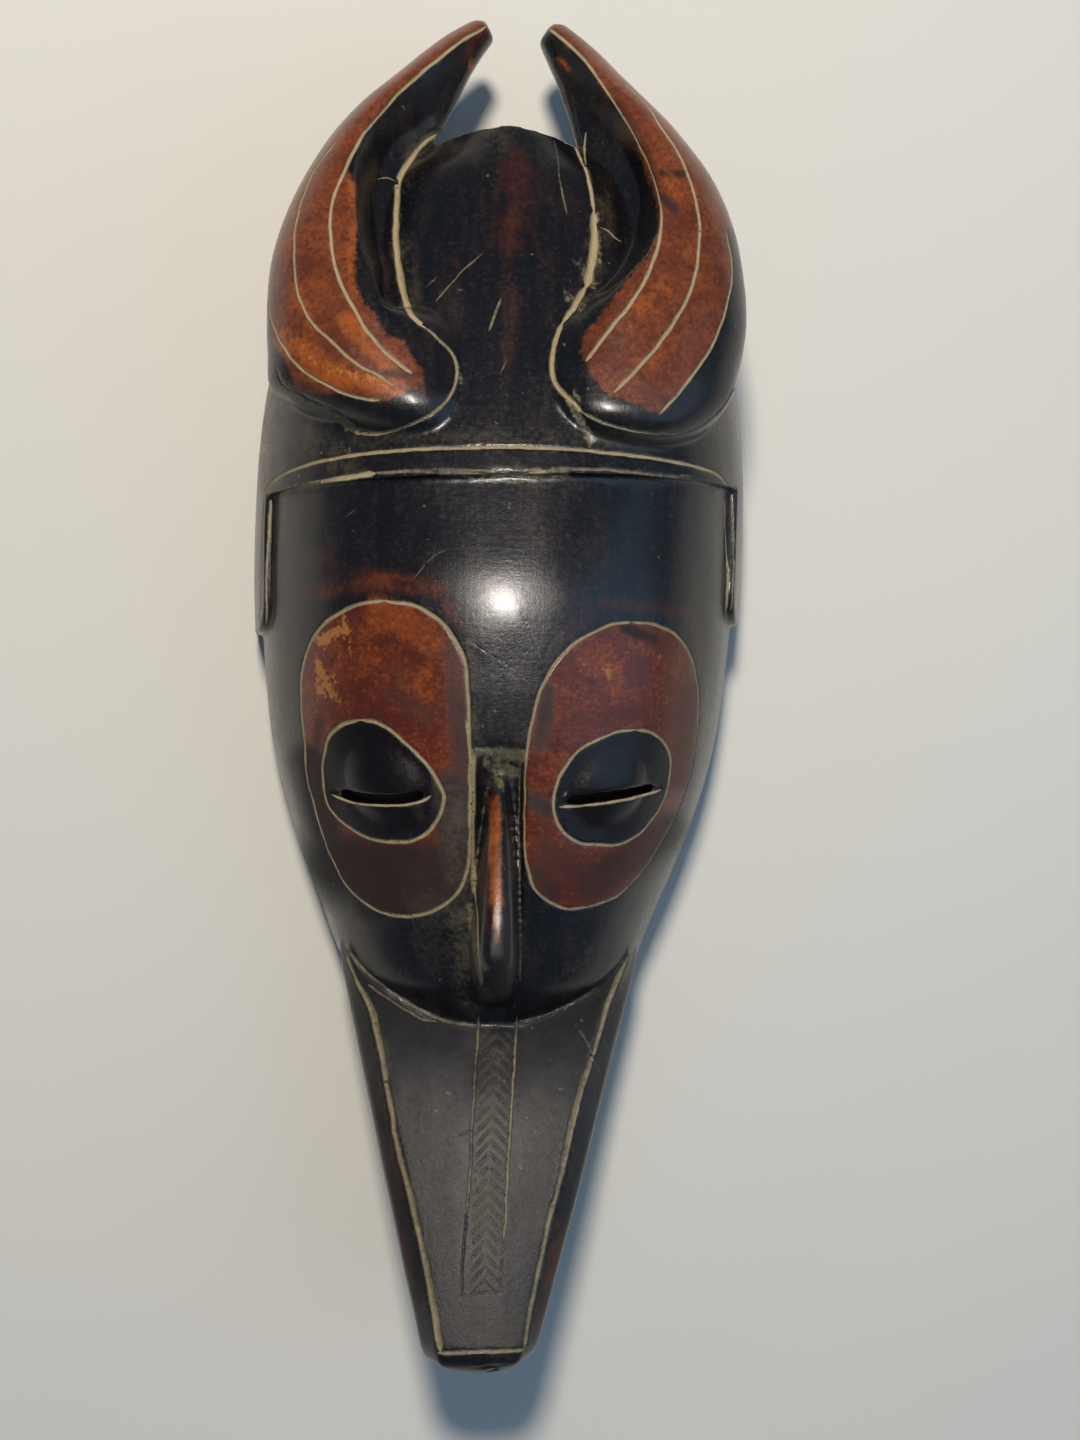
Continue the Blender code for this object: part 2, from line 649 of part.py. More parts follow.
def engraved_lines():
    """Every engraved line seen from above: its name, its outline in plan, its depth and whether it closes."""
    lines = []
    for side, horn_lines, valley in (
        ("left", LEFT_HORN_LINES, LEFT_VALLEY),
        ("right", RIGHT_HORN_LINES, RIGHT_VALLEY),
    ):
        for i, points in enumerate(horn_lines):
            lines.append((f"{side}_horn_line_{i + 1}", smooth_line(points, 2 * len(points)), FINE_CUT, False))
        lines.append((f"{side}_valley", smooth_line(valley, 24), DEEP_CUT, False))
    lines.append(("band_line", band_outline(20), FINE_CUT, False))
    for i, (eye, patch) in enumerate(zip(EYES, PATCHES)):
        lines.append((f"patch_{i + 1}", ring_outline(patch, PATCH_SQUARENESS, 28), CUT, True))
        lines.append((f"eye_{i + 1}", ring_outline(eye, 2.0, 18), CUT, True))
    lines.append(("chin", chin_outline(14), DEEP_CUT, False))
    for side in (-1, 1):
        lines.append((f"snout_edge_{side}", snout_edge(side, 7), CUT, False))
        rail = [along_chevrons(i / 5, side) for i in range(6)]
        lines.append((f"chevron_rail_{side}", rail, FINE_CUT, False))
    foot = [(side * between(SNOUT, PANEL_END_Y)[1], PANEL_END_Y) for side in (-1, 1)]
    lines.append(("snout_foot", foot, CUT, False))
    base = [along_chevrons(1, side * FOOT_OVERHANG) for side in (-1, 1)]
    lines.append(("chevron_foot", base, FINE_CUT, False))
    for i in range(CHEVRONS):
        lines.append((f"chevron_{i + 1}", chevron(i), FINE_CUT, False))
    return lines


def surface(body):
    """A tree of the body as it stands, for finding the height over any place in plan."""
    bpy.context.view_layer.update()
    return BVHTree.FromObject(body, bpy.context.evaluated_depsgraph_get())


def engraving(name, outline, depth, closed, tree, home):
    """A four-sided bar bent along the surface, whose lower edge makes the V of the cut."""
    points = []
    for x, y in outline:
        hit = tree.ray_cast(Vector((x, y, SKY)), Vector((0, 0, -1)))[0]
        if hit is not None:
            points.append(hit)
    drawn = bpy.data.curves.new(name, "CURVE")
    drawn.dimensions = "3D"
    drawn.twist_mode = "Z_UP"
    drawn.bevel_depth = depth
    drawn.bevel_resolution = 0
    drawn.use_fill_caps = True
    line = drawn.splines.new("POLY")
    line.points.add(len(points) - 1)
    for point, target in zip(points, line.points):
        target.co = (*point, 1)
    line.use_cyclic_u = closed
    guide = bpy.data.objects.new(name + "_guide", drawn)
    home.objects.link(guide)
    bpy.context.view_layer.update()
    graph = bpy.context.evaluated_depsgraph_get()
    mesh = bpy.data.meshes.new_from_object(guide.evaluated_get(graph))
    bpy.data.objects.remove(guide)
    shape = bmesh.new()
    shape.from_mesh(mesh)
    bmesh.ops.remove_doubles(shape, verts=shape.verts, dist=0.00001)
    bmesh.ops.recalc_face_normals(shape, faces=shape.faces)
    shape.to_mesh(mesh)
    shape.free()
    mesh.name = name
    return place(mesh, name, home)


def combine(body, other, operation):
    """Adds or cuts one shape, as a Boolean on the body."""
    modifier = body.modifiers.new(other.name, "BOOLEAN")
    modifier.operation = operation
    modifier.solver = "EXACT"
    modifier.object = other
    return modifier


def carve_lines(body, home):
    """Cuts all the engraved lines at once."""
    tree = surface(body)
    for name, outline, depth, closed in engraved_lines():
        engraving(name, outline, depth, closed, tree, home)
    modifier = body.modifiers.new("engraved_lines", "BOOLEAN")
    modifier.operation = "DIFFERENCE"
    modifier.solver = "EXACT"
    modifier.operand_type = "COLLECTION"
    modifier.collection = home
    modifier.use_self = True


def clear_scene():
    for old in list(bpy.data.objects):
        bpy.data.objects.remove(old)
    for old in list(bpy.data.collections):
        bpy.data.collections.remove(old)


def build():
    clear_scene()
    mask_home = collection("horned_mask")
    blocks = collection("rough_blocks")
    cutters = collection("cutters")
    engravings = collection("engravings")
    mask = head(mask_home)
    mask.name = "mask"
    mask.data.materials.append(material("dark_stained_wood", (0.032, 0.022, 0.018), 0.32))
    hair = coiffure(blocks)
    combine(hair, face_opening(cutters), "DIFFERENCE")
    combine(mask, hair, "UNION")
    combine(mask, snout(blocks), "UNION")
    combine(mask, nose_channel(cutters), "DIFFERENCE")
    combine(mask, nose(blocks), "UNION")
    for name, eye in zip(("left_lid", "right_lid"), EYES):
        combine(mask, lid(name, eye, blocks), "UNION")
    combine(mask, horn("left_horn", LEFT_HORN, blocks), "UNION")
    combine(mask, horn("right_horn", RIGHT_HORN, blocks), "UNION")
    combine(mask, hollow(cutters), "DIFFERENCE")
    combine(mask, floor_block(cutters), "DIFFERENCE")
    for name, eye in zip(("left_slit", "right_slit"), EYES):
        combine(mask, slit(name, eye, cutters), "DIFFERENCE")
    carve_lines(mask, engravings)
    mask.data.shade_smooth()


build()
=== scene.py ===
"""A horned face mask with a long snout, carved from one block, on a pale floor.

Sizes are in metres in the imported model's frame: +Y runs from the snout to the horn tips, +X is the viewer's
right and +Z is the way the face looks. The form comes from the same named sizes as the solid. Each engraved
line, stain and mark is placed by a few pixels of the 1080 x 1440 photograph, cast through the camera onto
the form.
"""

import math

import bpy
import numpy as np
from bpy.props import FloatProperty, FloatVectorProperty, IntProperty, PointerProperty
from mathutils import Matrix, Vector, noise
from mathutils.bvhtree import BVHTree
from mathutils.kdtree import KDTree


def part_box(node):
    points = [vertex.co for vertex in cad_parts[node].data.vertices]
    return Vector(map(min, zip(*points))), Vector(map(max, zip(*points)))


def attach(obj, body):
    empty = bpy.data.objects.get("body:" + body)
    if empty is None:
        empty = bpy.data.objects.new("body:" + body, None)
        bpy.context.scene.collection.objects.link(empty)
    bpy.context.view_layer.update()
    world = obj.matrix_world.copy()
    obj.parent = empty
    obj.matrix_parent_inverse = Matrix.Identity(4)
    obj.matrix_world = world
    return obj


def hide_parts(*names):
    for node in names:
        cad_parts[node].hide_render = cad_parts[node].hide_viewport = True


bl_info = {
    "name": "Horned mask",
    "version": (1, 0, 0),
    "blender": (4, 5, 0),
    "location": "3D View > Sidebar > Mask",
    "description": "Carves, stains and lights a horned face mask",
    "category": "Object",
}

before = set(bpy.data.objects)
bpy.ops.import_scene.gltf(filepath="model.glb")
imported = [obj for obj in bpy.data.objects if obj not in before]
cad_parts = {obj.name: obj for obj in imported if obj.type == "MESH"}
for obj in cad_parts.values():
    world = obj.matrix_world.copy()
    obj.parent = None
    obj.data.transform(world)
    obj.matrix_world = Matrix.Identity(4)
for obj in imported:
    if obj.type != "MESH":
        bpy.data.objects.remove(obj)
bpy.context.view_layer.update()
MM = 0.001

# The camera stands where the photograph was taken from
PHOTO_SIZE = (1080, 1440)
FOCAL_PIXELS = 1955.2
SENSOR = 36.0
CAMERA_PLACE = Vector((-0.0154, -0.0107, 0.650))
CAMERA_YAW = math.radians(2.72)
CAMERA_ROLL = math.radians(1.7)
LOOK = Vector((math.sin(CAMERA_YAW), 0, -math.cos(CAMERA_YAW)))
LEVEL = Vector((math.cos(CAMERA_YAW), 0, math.sin(CAMERA_YAW)))
ACROSS = math.cos(CAMERA_ROLL) * LEVEL + math.sin(CAMERA_ROLL) * Vector((0, 1, 0))
UPWARDS = -math.sin(CAMERA_ROLL) * LEVEL + math.cos(CAMERA_ROLL) * Vector((0, 1, 0))

# The face and crown: place along Y, half-width at the rim, height of the middle, squareness
HEAD = (
    (-0.107, 0.020, 0.0415, 2.4),
    (-0.103, 0.0313, 0.046, 2.4),
    (-0.097, 0.0418, 0.051, 2.4),
    (-0.090, 0.0475, 0.057, 2.4),
    (-0.075, 0.0538, 0.064, 2.2),
    (-0.050, 0.0635, 0.073, 2.15),
    (-0.025, 0.0710, 0.0797, 2.15),
    (0.000, 0.0750, 0.0853, 2.12),
    (0.025, 0.0768, 0.0884, 2.12),
    (0.050, 0.0772, 0.0853, 2.2),
    (0.075, 0.0765, 0.0805, 2.3),
    (0.100, 0.0735, 0.075, 2.2),
    (0.125, 0.0670, 0.069, 2.15),
    (0.150, 0.0545, 0.0605, 2.1),
    (0.1715, 0.0340, 0.0490, 2.0),
)
HEAD_ENDS = (-0.107, 0.1705)
CROWN_PEAK_X = -0.002
CROWN_SLANT_Y = 0.158
CROWN_SLANT = 0.17
HEAD_RINGS = 90
HEAD_SIDES = 72
COIFFURE_ENDS = (0.010, 0.1715)
BAND_Y = 0.0600
BAND_TURN = math.radians(2.7)
STRIP_HEIGHT = 0.039
STRIP_END_Y = 0.0180
STRIP_END_RADIUS = 0.012

# Each horn, from the end of its bulb to its tip: X, Y, half-width, height of its middle, rise to its
# crest, depth below the middle, then two places across it from -1 outside to 1 inside: the crest and
# the foot of the inner wall, which reaches past 1 where the bulb spreads over the crown
LEFT_HORN = (
    (-0.0250, 0.0670, 0.0240, 0.0630, 0.0250, 0.022, 0.28, 1.28),
    (-0.0435, 0.0945, 0.0284, 0.0600, 0.0250, 0.022, 0.28, 1.28),
    (-0.0499, 0.1070, 0.0240, 0.0575, 0.0255, 0.022, 0.48, 0.59),
    (-0.0534, 0.1227, 0.0196, 0.0545, 0.0245, 0.020, 0.52, 0.76),
    (-0.0515, 0.1395, 0.0168, 0.0505, 0.0225, 0.018, 0.27, 0.58),
    (-0.0474, 0.1544, 0.0142, 0.0460, 0.0200, 0.016, 0.00, 0.43),
    (-0.0410, 0.1670, 0.0121, 0.0420, 0.0175, 0.014, -0.25, 0.35),
    (-0.0312, 0.1800, 0.0110, 0.0365, 0.0145, 0.012, -0.34, 0.60),
    (-0.0190, 0.1980, 0.0070, 0.0310, 0.0105, 0.009, 0.05, 0.97),
    (-0.0103, 0.2080, 0.0044, 0.0275, 0.0070, 0.007, 0.30, 0.97),
)
RIGHT_HORN = (
    (0.0350, 0.0680, 0.0287, 0.0630, 0.0250, 0.022, 0.40, 1.38),
    (0.0400, 0.0940, 0.0287, 0.0600, 0.0250, 0.022, 0.40, 1.38),
    (0.0459, 0.1131, 0.0268, 0.0565, 0.0255, 0.022, 0.56, 0.80),
    (0.0475, 0.1306, 0.0229, 0.0530, 0.0240, 0.020, 0.28, 0.56),
    (0.0450, 0.1457, 0.0202, 0.0495, 0.0220, 0.018, 0.06, 0.33),
    (0.0397, 0.1588, 0.0172, 0.0455, 0.0200, 0.016, -0.12, 0.16),
    (0.0331, 0.1720, 0.0140, 0.0405, 0.0175, 0.014, -0.20, 0.25),
    (0.0260, 0.1850, 0.0104, 0.0360, 0.0145, 0.012, -0.12, 0.60),
    (0.0188, 0.1975, 0.0075, 0.0310, 0.0105, 0.009, 0.05, 0.97),
    (0.0117, 0.2076, 0.0048, 0.0275, 0.0070, 0.007, 0.30, 0.97),
)
BULB_CREST = 0.50
BULB_ROUND = 2.2
WALL_ROUND = 1.15
ROUND_UNTIL = 2.6
SECTION_TURN = 1.8
WALL_REACH = 0.04
TIP_LENGTH = 0.0022
TIP_CLOSING = 0.55
WALL_FOOT = 0.30
HORN_RINGS = 70
OUTER_SIDES = 20
WALL_SIDES = 6
SHELF_SIDES = 5
UNDER_SIDES = 18

# The snout: place along Y, half-width, half-width of its flat panel, height of the panel,
# fall from the panel to the edge, height of its underside
SNOUT = (
    (-0.200, 0.0185, 0.0130, 0.0615, 0.008, 0.032),
    (-0.180, 0.0238, 0.0163, 0.0580, 0.008, 0.027),
    (-0.160, 0.0290, 0.0210, 0.0540, 0.008, 0.021),
    (-0.140, 0.0340, 0.0262, 0.0500, 0.008, 0.015),
    (-0.120, 0.0390, 0.0314, 0.0455, 0.008, 0.009),
    (-0.100, 0.0438, 0.0372, 0.0410, 0.007, 0.003),
    (-0.086, 0.0470, 0.0430, 0.0380, 0.007, -0.001),
    (-0.070, 0.0480, 0.0450, 0.0345, 0.007, -0.003),
)
SNOUT_TIP = (
    (-0.2020, 0.975, 0.0006), (-0.2045, 0.930, 0.0020), (-0.2056, 0.905, 0.0033), (-0.2065, 0.870, 0.0048),
    (-0.2072, 0.810, 0.0061), (-0.2078, 0.740, 0.0075), (-0.2085, 0.610, 0.0092), (-0.2091, 0.460, 0.0110),
    (-0.2096, 0.300, 0.0130), (-0.2100, 0.120, 0.0150),
)
SNOUT_SKEW = 0.034
SNOUT_FALLS = (0.5, 0.3, 0.2)
SNOUT_WAIST = 0.86
SNOUT_FOOT_WAIST = 0.80
SNOUT_RINGS = 40
PANEL_CROWN = 0.0012

# The nose: place along Y, half-width, height of its ridge
NOSE = (
    (-0.1010, 0.0050, 0.0440),
    (-0.0900, 0.0058, 0.0740),
    (-0.0820, 0.0062, 0.0880),
    (-0.0760, 0.0062, 0.0895),
    (-0.0620, 0.0056, 0.0876),
    (-0.0450, 0.0045, 0.0832),
    (-0.0365, 0.0037, 0.0803),
    (-0.0310, 0.0031, 0.0785),
    (-0.0255, 0.0022, 0.0750),
)
NOSE_X = 0.0008
NOSE_ROOT_Z = 0.030
NOSE_RINGS = 48
NOSE_CHANNEL = (
    (-0.1060, 0.0060, 0.0000),
    (-0.0950, 0.0078, 0.0035),
    (-0.0600, 0.0082, 0.0042),
    (-0.0270, 0.0080, 0.0045),
    (-0.0180, 0.0076, 0.0000),
)
CHANNEL_FLOOR = 0.62

# The eyelids: middle and half sizes
LIDS = (
    (-0.0343, -0.0310, 0.0182, 0.0168),
    (0.0343, -0.0303, 0.0173, 0.0160),
)

# The opening of each eye starts this far above the line of its lower lip
SLIT_LEDGE = 0.0006

# The scooped back
HOLLOW_ENDS = (-0.078, 0.150)
HOLLOW_CLOSING = 0.03
HOLLOW_FULLNESS = 0.65
HOLLOW_LIP = 0.12
HOLLOW_RINGS = 48
HOLLOW_SIDES = 48
BELOW_RIM = 0.006

# Outlines read off the photograph, in its pixels
LEFT_PATCH = (
    (385, 601), (360, 604), (337, 614), (320, 628), (307, 650), (301, 675), (301, 705), (304, 742),
    (307, 780), (315, 810), (325, 842), (337, 870), (352, 892), (370, 907), (390, 915), (410, 916),
    (435, 910), (455, 895), (466, 875), (470, 842), (470, 805), (470, 767), (469, 730), (468, 692),
    (464, 660), (452, 635), (435, 617), (412, 605),
)
RIGHT_PATCH = (
    (632, 622), (610, 625), (590, 634), (570, 647), (552, 667), (540, 692), (532, 722), (527, 752),
    (525, 785), (524, 817), (525, 850), (529, 872), (536, 890), (550, 902), (567, 909), (587, 907),
    (610, 900), (630, 885), (650, 860), (670, 827), (685, 792), (695, 750), (699, 705), (696, 672),
    (687, 647), (672, 632), (655, 625),
)
LEFT_EYE = (
    (360, 720), (375, 722), (390, 730), (407, 745), (425, 762), (437, 780), (444, 796), (441, 812),
    (430, 830), (410, 841), (387, 842), (365, 837), (345, 825), (328, 806), (323, 785), (323, 760),
    (329, 737), (342, 725),
)
RIGHT_EYE = (
    (635, 730), (615, 732), (597, 740), (577, 752), (562, 772), (555, 792), (554, 810), (562, 830),
    (577, 842), (597, 845), (620, 844), (637, 835), (652, 820), (664, 800), (670, 777), (670, 755),
    (662, 740), (650, 732),
)
LEFT_SLIT = ((331, 795), (347, 801), (367, 805), (385, 806), (405, 805), (422, 801), (431, 795))
RIGHT_SLIT = ((559, 807), (580, 806), (605, 803), (630, 799), (650, 794), (662, 790))
LEFT_STAIN = (
    (500, 5), (487, 27), (462, 41), (425, 70), (400, 92), (375, 120), (357, 145), (347, 168),
    (357, 190), (359, 212), (357, 235), (354, 260), (354, 280), (360, 297), (375, 317), (390, 337),
    (405, 343), (412, 358), (424, 368), (424, 382), (410, 390), (390, 398), (380, 401), (342, 393),
    (312, 394), (296, 388), (282, 350), (272, 325), (266, 303), (200, 303), (200, 5),
)
RIGHT_STAIN = (
    (540, 5), (545, 26), (565, 41), (585, 60), (602, 85), (620, 112), (633, 137), (643, 162),
    (653, 190), (657, 212), (656, 235), (650, 253), (632, 272), (618, 294), (602, 312), (588, 332),
    (580, 350), (587, 367), (600, 386), (611, 395), (630, 402), (650, 411), (660, 414), (678, 395),
    (695, 372), (710, 350), (720, 327), (727, 305), (732, 280), (731, 255), (726, 230), (780, 215),
    (780, 5),
)

# Engraved lines: half-width and depth in millimetres, how much dust fills them, and their pixels
LINES = (
    (0.58, 0.45, 0.90, (
        (487, 26), (462, 41), (425, 70), (400, 92), (375, 120), (357, 145), (344, 172), (333, 200),
        (330, 225), (332, 250), (336, 270), (345, 292), (360, 320), (380, 347), (400, 365), (412, 374),
    )),
    (0.52, 0.42, 0.80, (
        (337, 142), (327, 152), (312, 175), (301, 202), (295, 230), (294, 255), (296, 282), (302, 305),
        (314, 325), (332, 342), (357, 364), (377, 375), (395, 386),
    )),
    (0.55, 0.45, 0.88, (
        (268, 303), (272, 322), (282, 345), (297, 365), (317, 380), (342, 392), (365, 399), (380, 400),
    )),
    (0.58, 0.45, 0.90, (
        (546, 27), (565, 41), (585, 60), (602, 85), (620, 112), (635, 137), (647, 162), (657, 190),
        (661, 212), (660, 235), (655, 257), (645, 280), (630, 305), (612, 327), (597, 347), (586, 361),
    )),
    (0.58, 0.45, 0.84, (
        (624, 82), (648, 106), (660, 125), (675, 147), (686, 170), (694, 195), (699, 220), (699, 245),
        (696, 270), (689, 295), (677, 317), (662, 340), (645, 360), (630, 377), (614, 392),
    )),
    (0.52, 0.42, 0.78, (
        (726, 230), (731, 255), (732, 280), (727, 305), (720, 327), (710, 350), (695, 372), (677, 395),
        (659, 414),
    )),
    (1.18, 0.80, 0.92, (
        (452, 130), (440, 132), (425, 142), (412, 157), (401, 175), (397, 195), (396, 220), (396, 245),
        (399, 270), (404, 295), (412, 315), (425, 327),
    )),
    (0.62, 0.70, 0.62, (
        (425, 327), (440, 340), (451, 352), (457, 367), (456, 382), (447, 400), (430, 415), (405, 427),
        (380, 433), (358, 434),
    )),
    (0.70, 0.80, 0.55, ((276, 368), (283, 382), (294, 392), (311, 402), (335, 412), (352, 426), (358, 434))),
    (0.75, 0.80, 0.92, ((570, 134), (577, 150), (586, 170), (591, 192), (594, 212))),
    (1.45, 0.90, 1.00, ((594, 212), (595, 235), (592, 262), (586, 287))),
    (1.00, 0.90, 0.92, ((586, 287), (575, 305), (563, 322))),
    (0.85, 0.90, 0.88, ((563, 322), (555, 342), (552, 362), (555, 382), (567, 397), (582, 412))),
    (0.60, 0.70, 0.70, (
        (582, 412), (605, 423), (630, 430), (655, 433), (680, 433), (702, 425), (720, 410), (735, 388),
    )),
    (0.45, 0.45, 0.75, ((586, 132), (584, 147), (586, 165))),
    (0.58, 0.60, 0.82, (
        (264, 493), (271, 483), (287, 473), (310, 464), (350, 456), (393, 451), (450, 448), (507, 447),
        (564, 449), (621, 454), (664, 460), (699, 467), (719, 476), (729, 487),
    )),
    (0.95, 0.45, 1.00, ((280, 494), (307, 486), (344, 478), (375, 473))),
    (0.60, 0.35, 0.45, ((375, 473), (421, 471), (464, 472), (492, 475))),
    (0.85, 0.40, 0.85, ((492, 475), (521, 474), (545, 471))),
    (0.50, 0.35, 0.50, ((545, 471), (564, 469), (621, 471), (664, 476), (696, 481), (719, 489))),
    (0.42, 0.40, 0.62, ((264, 496), (262, 551), (261, 597), (260, 631))),
    (0.40, 0.35, 0.75, ((271, 500), (269, 540), (267, 580), (266, 625))),
    (0.50, 0.40, 0.75, ((724, 494), (726, 540), (727, 580), (726, 612))),
    (0.40, 0.40, 0.50, ((731, 494), (733, 540), (733, 590), (731, 612))),
    (0.62, 0.55, 0.82, (*LEFT_PATCH, LEFT_PATCH[0])),
    (0.52, 0.50, 0.72, (*RIGHT_PATCH, RIGHT_PATCH[0])),
    (0.62, 0.60, 0.82, (*LEFT_EYE, LEFT_EYE[0])),
    (0.55, 0.55, 0.80, (*RIGHT_EYE, RIGHT_EYE[0])),
    # Along each eye opening the pale dust on the lower lip also stands in for the lip's lit edge: partly dust, partly
    # painted light
    (0.48, 0.25, 1.00, LEFT_SLIT),
    (0.45, 0.25, 0.95, RIGHT_SLIT),
    (1.15, 0.50, 0.68, ((472, 750), (473, 805), (472, 842), (474, 880), (477, 917), (479, 960), (481, 985))),
    (0.40, 0.30, 0.80, ((466, 720), (470, 760), (470, 805))),
    (0.45, 0.30, 0.35, ((521, 752), (519, 805), (519, 860), (520, 925), (520, 985))),
    (0.70, 0.65, 0.45, ((345, 948), (362, 967), (380, 982), (405, 1000), (430, 1015), (450, 1022), (474, 1025))),
    (0.45, 0.40, 0.45, ((368, 985), (395, 1003), (420, 1018), (436, 1022))),
    (0.70, 0.65, 0.22, ((519, 1021), (542, 1016), (567, 1005), (592, 990), (612, 972), (625, 960))),
    (1.30, 0.95, 0.60, (
        (345, 952), (357, 982), (370, 1007), (377, 1035), (384, 1070), (390, 1107), (397, 1145),
        (406, 1180), (414, 1214), (421, 1246), (428, 1278), (434, 1310), (439, 1342), (440, 1352),
    )),
    (1.15, 0.85, 0.56, (
        (629, 955), (617, 982), (607, 1007), (595, 1050), (582, 1087), (570, 1132), (560, 1182),
        (550, 1218), (543, 1254), (535, 1290), (529, 1320), (525, 1349),
    )),
    (0.75, 0.70, 0.64, ((437, 1353), (460, 1352), (490, 1351), (528, 1350))),
    (0.42, 0.45, 0.45, ((479, 1015), (477, 1050), (474, 1090), (472, 1130), (470, 1175), (467, 1210))),
    (0.40, 0.42, 0.15, ((467, 1210), (464, 1240), (462, 1270), (462, 1298))),
    (0.45, 0.45, 0.60, ((517, 1017), (515, 1050), (512, 1100), (509, 1145), (507, 1190), (504, 1240))),
    (0.40, 0.42, 0.25, ((504, 1240), (501, 1270), (500, 1292))),
    (0.38, 0.40, 0.10, ((460, 1298), (468, 1295), (500, 1292), (505, 1292))),
)

# Scratches, in the same terms
SCRATCHES = (
    (0.28, 0.10, 0.45, ((436, 301), (450, 285), (466, 268), (482, 254))),
    (0.44, 0.22, 0.50, ((489, 331), (493, 320), (497, 309), (501, 298))),
    (0.28, 0.10, 0.45, ((500, 375), (507, 360))),
    (0.24, 0.08, 0.40, ((426, 288), (438, 276))),
    (0.30, 0.12, 0.42, ((554, 140), (558, 160), (559, 175), (563, 195), (567, 214))),
    (0.32, 0.18, 0.70, ((601, 227), (609, 231), (616, 238), (622, 242))),
    (0.28, 0.12, 0.60, ((377, 179), (388, 178), (396, 181))),
    (0.24, 0.06, 0.28, ((412, 582), (422, 568), (434, 556), (447, 549))),
    (0.30, 0.10, 0.40, ((346, 517), (352, 511), (357, 507))),
    (0.30, 0.18, 0.15, ((455, 1136), (463, 1133), (475, 1130))),
    (0.26, 0.12, 0.15, ((508, 1273), (515, 1282), (524, 1277))),
    (0.22, 0.10, 0.35, ((574, 1024), (585, 1040), (594, 1058), (603, 1078))),
    (0.22, 0.06, 0.20, ((470, 640), (490, 655), (515, 668))),
    (0.22, 0.06, 0.20, ((520, 610), (535, 640), (541, 662))),
    (0.22, 0.06, 0.22, ((410, 1165), (430, 1160), (452, 1163))),
    (0.22, 0.06, 0.22, ((530, 1095), (545, 1110), (556, 1130))),
)

# How the mesh is made closer beside the lines
PLAIN_TRIANGLES = 45000
SPLIT_PASSES = 4
EDGE_MARGIN = 0.10
EDGE_GROWTH = 0.65
DRAW_IN = 0.40

CHEVRONS = 21
CHEVRON_FIRST = (496.5, 1026.0)
CHEVRON_LAST = (484.0, 1280.0)
CHEVRON_HALF = (17.5, 17.0)
CHEVRON_DROP = 18.0

# Marks as strokes: two pixels, a radius in pixels and a strength
RED_WEAR_AND_GLINT = (
    (515, 160, 507, 240, 20, 0.56), (530, 170, 534, 250, 9, 0.45), (509, 240, 512, 370, 13, 0.42),
    (455, 235, 458, 290, 5, 0.45), (470, 260, 468, 300, 4, 0.25), (540, 260, 548, 330, 10, 0.18),
    (318, 592, 375, 580, 15, 0.75), (375, 580, 440, 590, 14, 0.80), (440, 595, 462, 625, 9, 0.70),
    (310, 560, 350, 575, 16, 0.45), (330, 540, 440, 560, 14, 0.25), (500, 530, 590, 545, 18, 0.30),
    (600, 600, 690, 612, 10, 0.60), (690, 620, 706, 660, 8, 0.45), (560, 640, 590, 615, 7, 0.50),
    (575, 600, 600, 600, 12, 0.30), (520, 755, 528, 770, 6, 0.50), (640, 500, 690, 560, 18, 0.15),
    (563, 1200, 574, 1150, 7, 0.45), (550, 1290, 560, 1225, 10, 0.66), (540, 1330, 548, 1300, 8, 0.55),
    (390, 1140, 412, 1290, 9, 0.50), (366, 1040, 390, 1140, 7, 0.35), (412, 1290, 418, 1320, 4, 0.60),
    # The first two strokes on this row, along the snout's lower end, are a painted highlight: a red-brown rim
    # standing in for the light that edge catches
    (432, 1372, 500, 1378, 5, 0.75), (500, 1374, 528, 1366, 4, 0.55), (430, 1014, 455, 1024, 4, 0.35),
    (386, 1002, 400, 1010, 4, 0.35), (380, 250, 396, 320, 4, 0.35), (440, 345, 455, 378, 6, 0.30),
    (600, 90, 632, 150, 5, 0.45), (470, 50, 485, 30, 6, 0.75), (465, 62, 474, 55, 5, 0.70),
    (365, 1060, 372, 1100, 3, 0.35), (300, 600, 290, 680, 10, 0.25), (405, 378, 424, 390, 5, 0.80),
    (484, 870, 488, 930, 6, 0.60),
)
ORANGE_WEAR = (
    (495, 802, 496, 905, 8.5, 0.66), (496, 905, 497, 940, 5.0, 0.45), (285, 340, 350, 385, 15, 0.70),
    (330, 375, 400, 388, 9, 1.00), (345, 320, 385, 362, 12, 0.80), (290, 290, 320, 330, 12, 0.45),
    (352, 185, 352, 290, 6, 0.55), (468, 62, 473, 68, 4, 0.75), (560, 60, 568, 72, 3, 0.60),
    (380, 615, 430, 640, 22, 0.70), (330, 640, 350, 690, 16, 0.45), (360, 660, 430, 690, 18, 0.50),
    (665, 180, 690, 200, 10, 0.40), (590, 660, 620, 690, 20, 0.55), (640, 650, 680, 680, 14, 0.40),
    (546, 752, 565, 760, 12, 0.60), (640, 150, 665, 180, 9, 0.35), (600, 350, 660, 290, 12, 0.40),
    (690, 250, 700, 290, 8, 0.35), (640, 370, 690, 320, 12, 0.30), (605, 380, 625, 370, 6, 0.30),
)
OCHRE_WEAR = (
    (322, 640, 345, 628, 8, 0.80), (318, 660, 325, 700, 7, 0.75), (345, 620, 352, 650, 7, 0.60),
    (330, 680, 335, 700, 8, 0.60), (316, 700, 320, 730, 4, 0.40), (495, 838, 495, 845, 3, 0.60),
    (330, 370, 392, 384, 7, 0.55), (300, 350, 330, 372, 7, 0.40), (590, 670, 620, 680, 14, 0.45),
    (640, 640, 670, 660, 8, 0.35), (550, 740, 560, 750, 6, 0.35), (560, 58, 568, 75, 3, 0.80),
    (600, 860, 640, 845, 12, 0.20), (690, 190, 697, 200, 5, 0.30),
)
